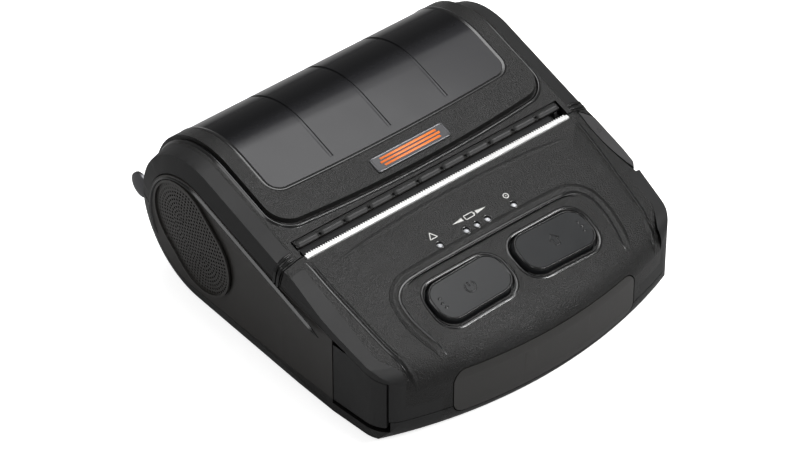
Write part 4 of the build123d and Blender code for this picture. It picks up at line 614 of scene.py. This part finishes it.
def makeKeySigns(settings):
    gap = settings["powerGap"]
    arc = ring((0.0, 0.0), settings["powerSize"], settings["powerPoints"], math.pi / 2 + gap, 2 * math.pi - 2 * gap)
    # the engraved lines are flat near-black marks: painted shade
    flatMark("powerArc", arc, settings["line"], "engraved", False, keyFrame(-1), "power_key")
    flatMark("powerBar", settings["powerBar"], settings["line"], "engraved", False, keyFrame(-1), "power_key")
    arrow = resampled(settings["arrow"], settings["arrowPoints"])[:-1] * settings["arrowSize"]
    flatMark("feedArrow", arrow, settings["line"] * settings["arrowLine"], "engraved", True, keyFrame(1), "feed_key")
    for side, word, key in keyWords:
        place = keyFrame(side)
        bead(f"keyRim{word}", *place(roundedLoop(*settings["rimHalf"], settings["rimCorner"])),
             settings["rimWidth"], settings["rimHeight"], "groove_black", key, closed=True)
        for n in (-1, 0, 1):
            x = side * (settings["bumpX"] - settings["bumpBow"] * abs(n)) + np.array(settings["bumpAlong"])
            path = np.stack([x, np.full_like(x, n * settings["bumpStep"])], axis=-1)
            bead(f"bump{word}{n + 2}", *place(path), settings["bumpWidth"], settings["bumpHeight"], "engraved", key,
                 fade=settings["bumpFade"])


makeLampSigns(signs)
makeKeySigns(keys)
print("marks made")


# Badge: a raised rim and three plain stripes on the dark plate

badge = {"y": 1.3, "half": (16.25, 3.2), "corner": 0.8, "plate": 0.5, "inset": 0.35, "rim": 0.55, "rimHeight": 0.14,
         "stripeHalf": 13.2, "stripeShorter": 0.8, "stripeWidth": 0.85, "stripeStep": 1.45}


def badgeFrame(path):  # the raised panel's slope under the badge, plus the plate's thickness
    z = (body["lipZ"] + (badge["y"] - body["lipY"]) * math.tan(lidSlope)
         + body["raised"] / math.cos(lidSlope))
    normal = np.array([0.0, -math.sin(lidSlope), math.cos(lidSlope)])
    along = np.array([0.0, math.cos(lidSlope), math.sin(lidSlope)])
    origin = np.array([0.0, badge["y"], z]) + normal * badge["plate"]
    points = origin + path[:, :1] * np.array([1.0, 0.0, 0.0]) + path[:, 1:] * along
    return points, np.broadcast_to(normal, points.shape).copy()


def makeBadge(settings):
    halfX, halfY = settings["half"]
    loop = roundedLoop(halfX - settings["inset"], halfY - settings["inset"], settings["corner"])
    bead("badgeRim", *badgeFrame(loop), settings["rim"], settings["rimHeight"], "dark_steel", "lid", closed=True)
    for n in (-1, 0, 1):
        half = settings["stripeHalf"] - settings["stripeShorter"] * abs(n)
        path = [(x, n * settings["stripeStep"]) for x in (-half, -half / 3, half / 3, half)]
        flatMark(f"badgeStripe{n + 2}", path, settings["stripeWidth"], "ink_orange", frameOf=badgeFrame,
                 ridesOn="lid")


makeBadge(badge)
print("badge made")


# Grilles: rings of holes round the middle line of a domed, rounded plate

grille = {
    "centre": (34.2, 34.4), "tilt": math.radians(40.0), "straight": 5.8, "radius": 16.8, "x": 70.3, "dome": 0.4,
    "rings": 11, "ringStep": 1.45, "pitch": 1.55, "hole": 0.47, "thick": 0.8, "edgePoints": 120, "edgeRows": 3,
}


def grillePoint(along, radius, middle, settings):  # base on the middle line + radius * the outward direction there
    straight = 2.0 * settings["straight"]
    arcLength = math.pi * middle
    along = np.mod(along, 2.0 * (straight + arcLength))
    onTop = along < straight
    onEnd = (along >= straight) & (along < straight + arcLength)
    under = (along >= straight + arcLength) & (along < 2 * straight + arcLength)
    angle = np.where(onTop, 0.0, np.where(onEnd, (along - straight) / middle,
                     np.where(under, math.pi, math.pi + (along - 2 * straight - arcLength) / middle)))
    base = np.where(onTop, along - settings["straight"], np.where(onEnd, settings["straight"],
                    np.where(under, settings["straight"] - (along - straight - arcLength), -settings["straight"])))
    u = base + radius * np.sin(angle)
    v = radius * np.cos(angle)
    cosTilt, sinTilt = math.cos(settings["tilt"]), math.sin(settings["tilt"])
    y = settings["centre"][0] + u * cosTilt - v * sinTilt
    z = settings["centre"][1] + u * sinTilt + v * cosTilt
    x = settings["x"] + settings["dome"] * (1.0 - (radius / settings["radius"]) ** 2)
    return np.stack(np.broadcast_arrays(x, y, z), axis=-1)


def makeGrille(side, word, settings):  # each cell is a square frame of 8 points round a hole of 8 points
    points, faces = [], []
    count = 0
    corner = np.arange(8)
    turn = corner * math.pi / 4
    following = (corner + 1) % 8
    quad = np.stack([corner, following, following + 8, corner + 8], axis=-1)
    squareA = np.array([1, 1, 0, -1, -1, -1, 0, 1]) * 0.5
    squareR = np.array([0, 1, 1, 1, 0, -1, -1, -1]) * 0.5
    hole, ringStep = settings["hole"], settings["ringStep"]
    for ringAt in range(settings["rings"]):
        middle = (ringAt + 0.5) * ringStep
        around = 4.0 * settings["straight"] + 2.0 * math.pi * middle
        cells = round(around / settings["pitch"])
        pitch = around / cells
        at = (np.arange(cells) + 0.5 * (ringAt % 2))[:, None] * pitch
        outer = grillePoint(at + squareA * pitch, middle + squareR * ringStep, middle, settings)
        inner = grillePoint(at + hole * np.cos(turn), middle + hole * np.sin(turn), middle, settings)
        points.append(np.concatenate([outer, inner], axis=1).reshape(-1, 3))
        faces.append((quad[None] + 16 * np.arange(cells)[:, None, None] + count).reshape(-1, 4))
        count += 16 * cells
    edge = np.linspace(settings["rings"] * ringStep, settings["radius"], settings["edgeRows"])
    middle = settings["radius"]
    around = 4.0 * settings["straight"] + 2.0 * math.pi * middle
    at, radius = np.meshgrid(np.linspace(0.0, around, settings["edgePoints"] + 1)[:-1], edge, indexing="ij")
    points.append(grillePoint(at, radius, middle, settings).reshape(-1, 3))
    faces.append(gridFaces(settings["edgePoints"], settings["edgeRows"], True, False)[:, ::-1] + count)
    points, faces = np.concatenate(points), np.concatenate(faces)
    if side < 0:
        points = points * (-1.0, 1.0, 1.0)
        faces = faces[:, ::-1]
    piece = makePiece(f"grille{word}", points, faces, "grille_dark", "base", smooth=False)
    changeMesh(piece.data, lambda work: bmesh.ops.remove_doubles(work, verts=work.verts[:], dist=moulding["merge"]))
    wall = piece.modifiers.new("wall", "SOLIDIFY")
    wall.thickness = settings["thick"] * mm
    wall.offset = -1.0
    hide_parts(f"side_grille_{word.lower()}")


for side, word in sideWords:
    makeGrille(side, word, grille)
print("grilles perforated")


# Welts: a glossy black bead along the top edge of each side panel, the joint there widened into painted shade of the
# wall beside it

shadeWelt = {"inset": 9.6, "x": 70.05, "width": 2.0, "height": 0.75, "frontY": -37.5, "rearTurn": math.radians(128.0),
        "points": 160, "fade": 5.0}


def makeShadeWelts(settings):  # the lid's side outline, moved in by the inset
    start = alongOf(settings["frontY"])
    end = (settings["rearTurn"] + lidSlope) * body["shellRadius"]
    y, z = lidPoint(np.linspace(start, end, settings["points"]), -settings["inset"])
    for side, word in sideWords:
        points = np.stack([np.full_like(y, side * settings["x"]), y, z], axis=-1)
        normals = np.broadcast_to((side, 0.0, 0.0), points.shape)
        # near-black: painted shade of the wall over the joint
        bead(f"sideShadeWelt{word}", points, normals, settings["width"], settings["height"], "groove_black", "base",
             fade=settings["fade"])


makeShadeWelts(shadeWelt)
print("welts made")


# Lid: the window's black rim, the groove round the raised panel drawn as a wide black bead of painted shade, the
# notched lip and the bands of the split

windowRim = {"half": 53.2, "y": 8.8, "sag": 1.4, "corner": 6.2, "lowZ": 47.2, "width": 2.1, "height": 0.26}
# panel groove: a wide near-black bead at the raised panel's foot, painted shade of its drop, and the groove
panelGrooveShade = {"half": 60.4, "y": -5.4, "sag": 3.0, "corner": 10.2, "lowZ": 43.6, "width": 2.2, "height": 0.75}
lidLoops = {"sink": 0.1, "frontPoints": 60, "cornerPoints": 12, "points": 320}
lip = {"segments": 11, "step": 10.79, "gap": 1.0, "y": -9.2, "end": 58.6, "points": 24, "width": 2.3,
       "height": 0.85, "fade": 0.9, "sink": 0.8}
bands = {
    "y": (-10.7, -12.5), "width": 1.3, "height": 0.35, "points": 40, "fade": 1.5,
    "drop": ((61.6, 0.0), (65.0, 0.55), (67.8, 1.75), (69.2, 4.2), (69.75, 7.6), (69.9, 9.7)),
}


def lidFrame(path, lift):  # path in (X, along) wrapped round the lid's side outline at a height over it
    y, z = lidPoint(path[:, 1], lift)
    turn = np.maximum(path[:, 1], 0.0) / body["shellRadius"] - lidSlope
    return (np.stack([path[:, 0], y, z], axis=-1),
            np.stack([np.zeros_like(y), np.sin(turn), np.cos(turn)], axis=-1))


def lidLoop(settings, lift):  # front = y + sag * (x / half) squared, rounded corners, straight sides and rear
    half, corner = settings["half"], settings["corner"]
    turn = math.acos((settings["lowZ"] - body["rollZ"]) / (body["shellRadius"] + lift))
    rear = (turn + lidSlope) * body["shellRadius"]
    x = np.linspace(-half + corner, half - corner, lidLoops["frontPoints"])
    front = np.stack([x, alongOf(settings["y"] + settings["sag"] * (x / half) ** 2)], axis=-1)
    start = front[-1, 1] + corner
    right = ring((half - corner, start), corner, lidLoops["cornerPoints"], -math.pi / 2, math.pi / 2)
    left = ring((-half + corner, start), corner, lidLoops["cornerPoints"], math.pi, math.pi / 2)
    path = np.concatenate([front, right, [(half, rear), (-half, rear)], left])
    return resampled(np.concatenate([path, path[:1]]), lidLoops["points"] + 1)[:-1]


def makeLidLoops(settings):
    for name, loop, lift in (("windowRim", windowRim, body["raised"]), ("panelGrooveShade", panelGrooveShade, 0.0)):
        # both loops are near-black; round the raised panel that is painted shade
        bead(name, *lidFrame(lidLoop(loop, lift), lift - settings["sink"]), loop["width"], loop["height"],
             "groove_black", "lid", closed=True)


def makeLip(settings):
    for n in range(settings["segments"]):
        start = (n - settings["segments"] / 2) * settings["step"]
        low = max(start + settings["gap"] / 2, -settings["end"])
        high = min(start + settings["step"] - settings["gap"] / 2, settings["end"])
        x = np.linspace(low, high, settings["points"])
        path = np.stack([x, np.full_like(x, alongOf(settings["y"]))], axis=-1)
        bead(f"lipBead{n + 1}", *lidFrame(path, 0.0), settings["width"], settings["height"], "inner_black", "lid",
             fade=settings["fade"], sink=settings["sink"])


def makeSplitBands(settings):  # over the rail's crown and down its side: (X, drop) carried at one Y
    crown = resampled(settings["drop"], settings["points"])
    slope = np.gradient(crown, axis=0)
    slope /= np.linalg.norm(slope, axis=1, keepdims=True)
    flat = np.zeros(len(crown))
    for side, word in sideWords:
        for n, y in enumerate(settings["y"]):
            top = body["lipZ"] + (y - body["lipY"]) * math.tan(lidSlope)
            points = np.stack([side * crown[:, 0], flat + y, top - crown[:, 1]], axis=-1)
            normals = np.stack([side * slope[:, 1], flat, slope[:, 0]], axis=-1)
            bead(f"splitBand{word}{n + 1}", points, normals, settings["width"], settings["height"],
                 "groove_black", "base" if n else "lid", fade=settings["fade"])


makeLidLoops(lidLoops)
makeLip(lip)
makeSplitBands(bands)
print("lid trim made")


# Studio

studio = {
    "floor": (0.92, 0.92, 0.92), "floorUnseen": (0.42, 0.42, 0.42), "floorGlow": 0.72, "floorSize": 6.0,
    "floorRough": 0.9, "floorGloss": 0.1, "worldSeen": 1.0, "worldMirrored": 0.24, "worldUnseen": 0.13,
}
lights = {  # place and size in metres, power in watts; each looks at the origin
    "key": {"from": (0.27, 0.24, 1.16), "size": (0.78, 0.95), "power": 6.2},
    "near": {"from": (0.11, 0.09, 0.50), "size": (0.24, 0.26), "power": 0.85},
    "strip": {"from": (0.46, -0.72, 0.76), "size": (0.74, 0.11), "power": 9.5},
    "fill": {"from": (-1.1, 0.35, 0.75), "size": (0.5, 1.0), "power": 5.0},
    "edge": {"from": (-0.60, -0.86, 1.12), "size": (0.26, 0.07), "power": 1.0},
}
camera = {"azimuth": -39.5347, "elevation": 41.0, "place": (-0.6746, -0.8106, 0.9412), "lens": 179.2,
          "sensor": 36.0, "near": 0.05, "far": 20.0}


def makeFloor(settings):  # pale paper, brighter for the camera alone, so that it doesn't light the printer
    half = settings["floorSize"] / 2 / mm
    u, v = np.meshgrid(np.linspace(-half, half, 3), np.linspace(-half, half, 3), indexing="ij")
    mesh = makeMesh("floor", np.stack([u, v, np.zeros_like(u)], axis=-1), gridFaces(3, 3))
    material, tree, shader = newMaterial("floorPaper", {"metal": 0.0, "specular": settings["floorGloss"]})
    shader.inputs["Roughness"].default_value = settings["floorRough"]
    shader.inputs["Emission Color"].default_value = (1.0, 1.0, 1.0, 1.0)
    seen = tree.nodes.new("ShaderNodeLightPath").outputs["Is Camera Ray"]
    paper = tree.nodes.new("ShaderNodeMix")
    paper.data_type = "RGBA"
    paper.inputs["A"].default_value = (*settings["floorUnseen"], 1.0)
    paper.inputs["B"].default_value = (*settings["floor"], 1.0)
    tree.links.new(seen, paper.inputs["Factor"])
    tree.links.new(paper.outputs["Result"], shader.inputs["Base Color"])
    glow = addNode(tree, "ShaderNodeMapRange", **{"To Max": settings["floorGlow"]})
    tree.links.new(seen, glow.inputs["Value"])
    tree.links.new(glow.outputs["Result"], shader.inputs["Emission Strength"])
    mesh.materials.append(material)
    newObject("floor", mesh)


def makeWorld(settings):  # white where the camera looks past the printer, dimmer for what the printer mirrors
    world = bpy.data.worlds.new("studio")
    bpy.context.scene.world = world
    world.use_nodes = True
    tree = world.node_tree
    background = tree.nodes["Background"]
    background.inputs["Color"].default_value = (1.0, 1.0, 1.0, 1.0)
    rays = tree.nodes.new("ShaderNodeLightPath")
    mirrored, strength = settings["worldMirrored"], None
    for ray, level in (("Is Transmission Ray", mirrored), ("Is Glossy Ray", mirrored),
                       ("Is Camera Ray", settings["worldSeen"])):
        choice = tree.nodes.new("ShaderNodeMix")
        tree.links.new(rays.outputs[ray], choice.inputs["Factor"])
        choice.inputs["A"].default_value = settings["worldUnseen"]
        choice.inputs["B"].default_value = level
        if strength:
            tree.links.new(strength, choice.inputs["A"])
        strength = choice.outputs["Result"]
    tree.links.new(strength, background.inputs["Strength"])


def makeLight(name, settings):
    data = bpy.data.lights.new(name, "AREA")
    data.shape = "RECTANGLE"
    data.size, data.size_y = settings["size"]
    data.energy = settings["power"]
    lamp = newObject(name, data)
    lamp.location = settings["from"]
    lamp.rotation_euler = Vector(settings["from"]).to_track_quat("Z", "Y").to_euler()


def makeCamera(settings):  # looks back along the azimuth and elevation that the photograph gives
    data = bpy.data.cameras.new("photoCamera")
    data.lens = settings["lens"]
    data.sensor_width = settings["sensor"]
    data.clip_start = settings["near"]
    data.clip_end = settings["far"]
    eye = newObject("photoCamera", data)
    a, e = math.radians(settings["azimuth"]), math.radians(settings["elevation"])
    back = Vector((math.sin(a) * math.cos(e), -math.cos(a) * math.cos(e), math.sin(e)))
    eye.location = settings["place"]
    eye.rotation_euler = back.to_track_quat("Z", "Y").to_euler()
    bpy.context.scene.camera = eye


makeFloor(studio)
makeWorld(studio)
for name, settings in lights.items():
    makeLight(name, settings)
makeCamera(camera)
bpy.context.scene.view_settings.view_transform = "Standard"
print("studio made")
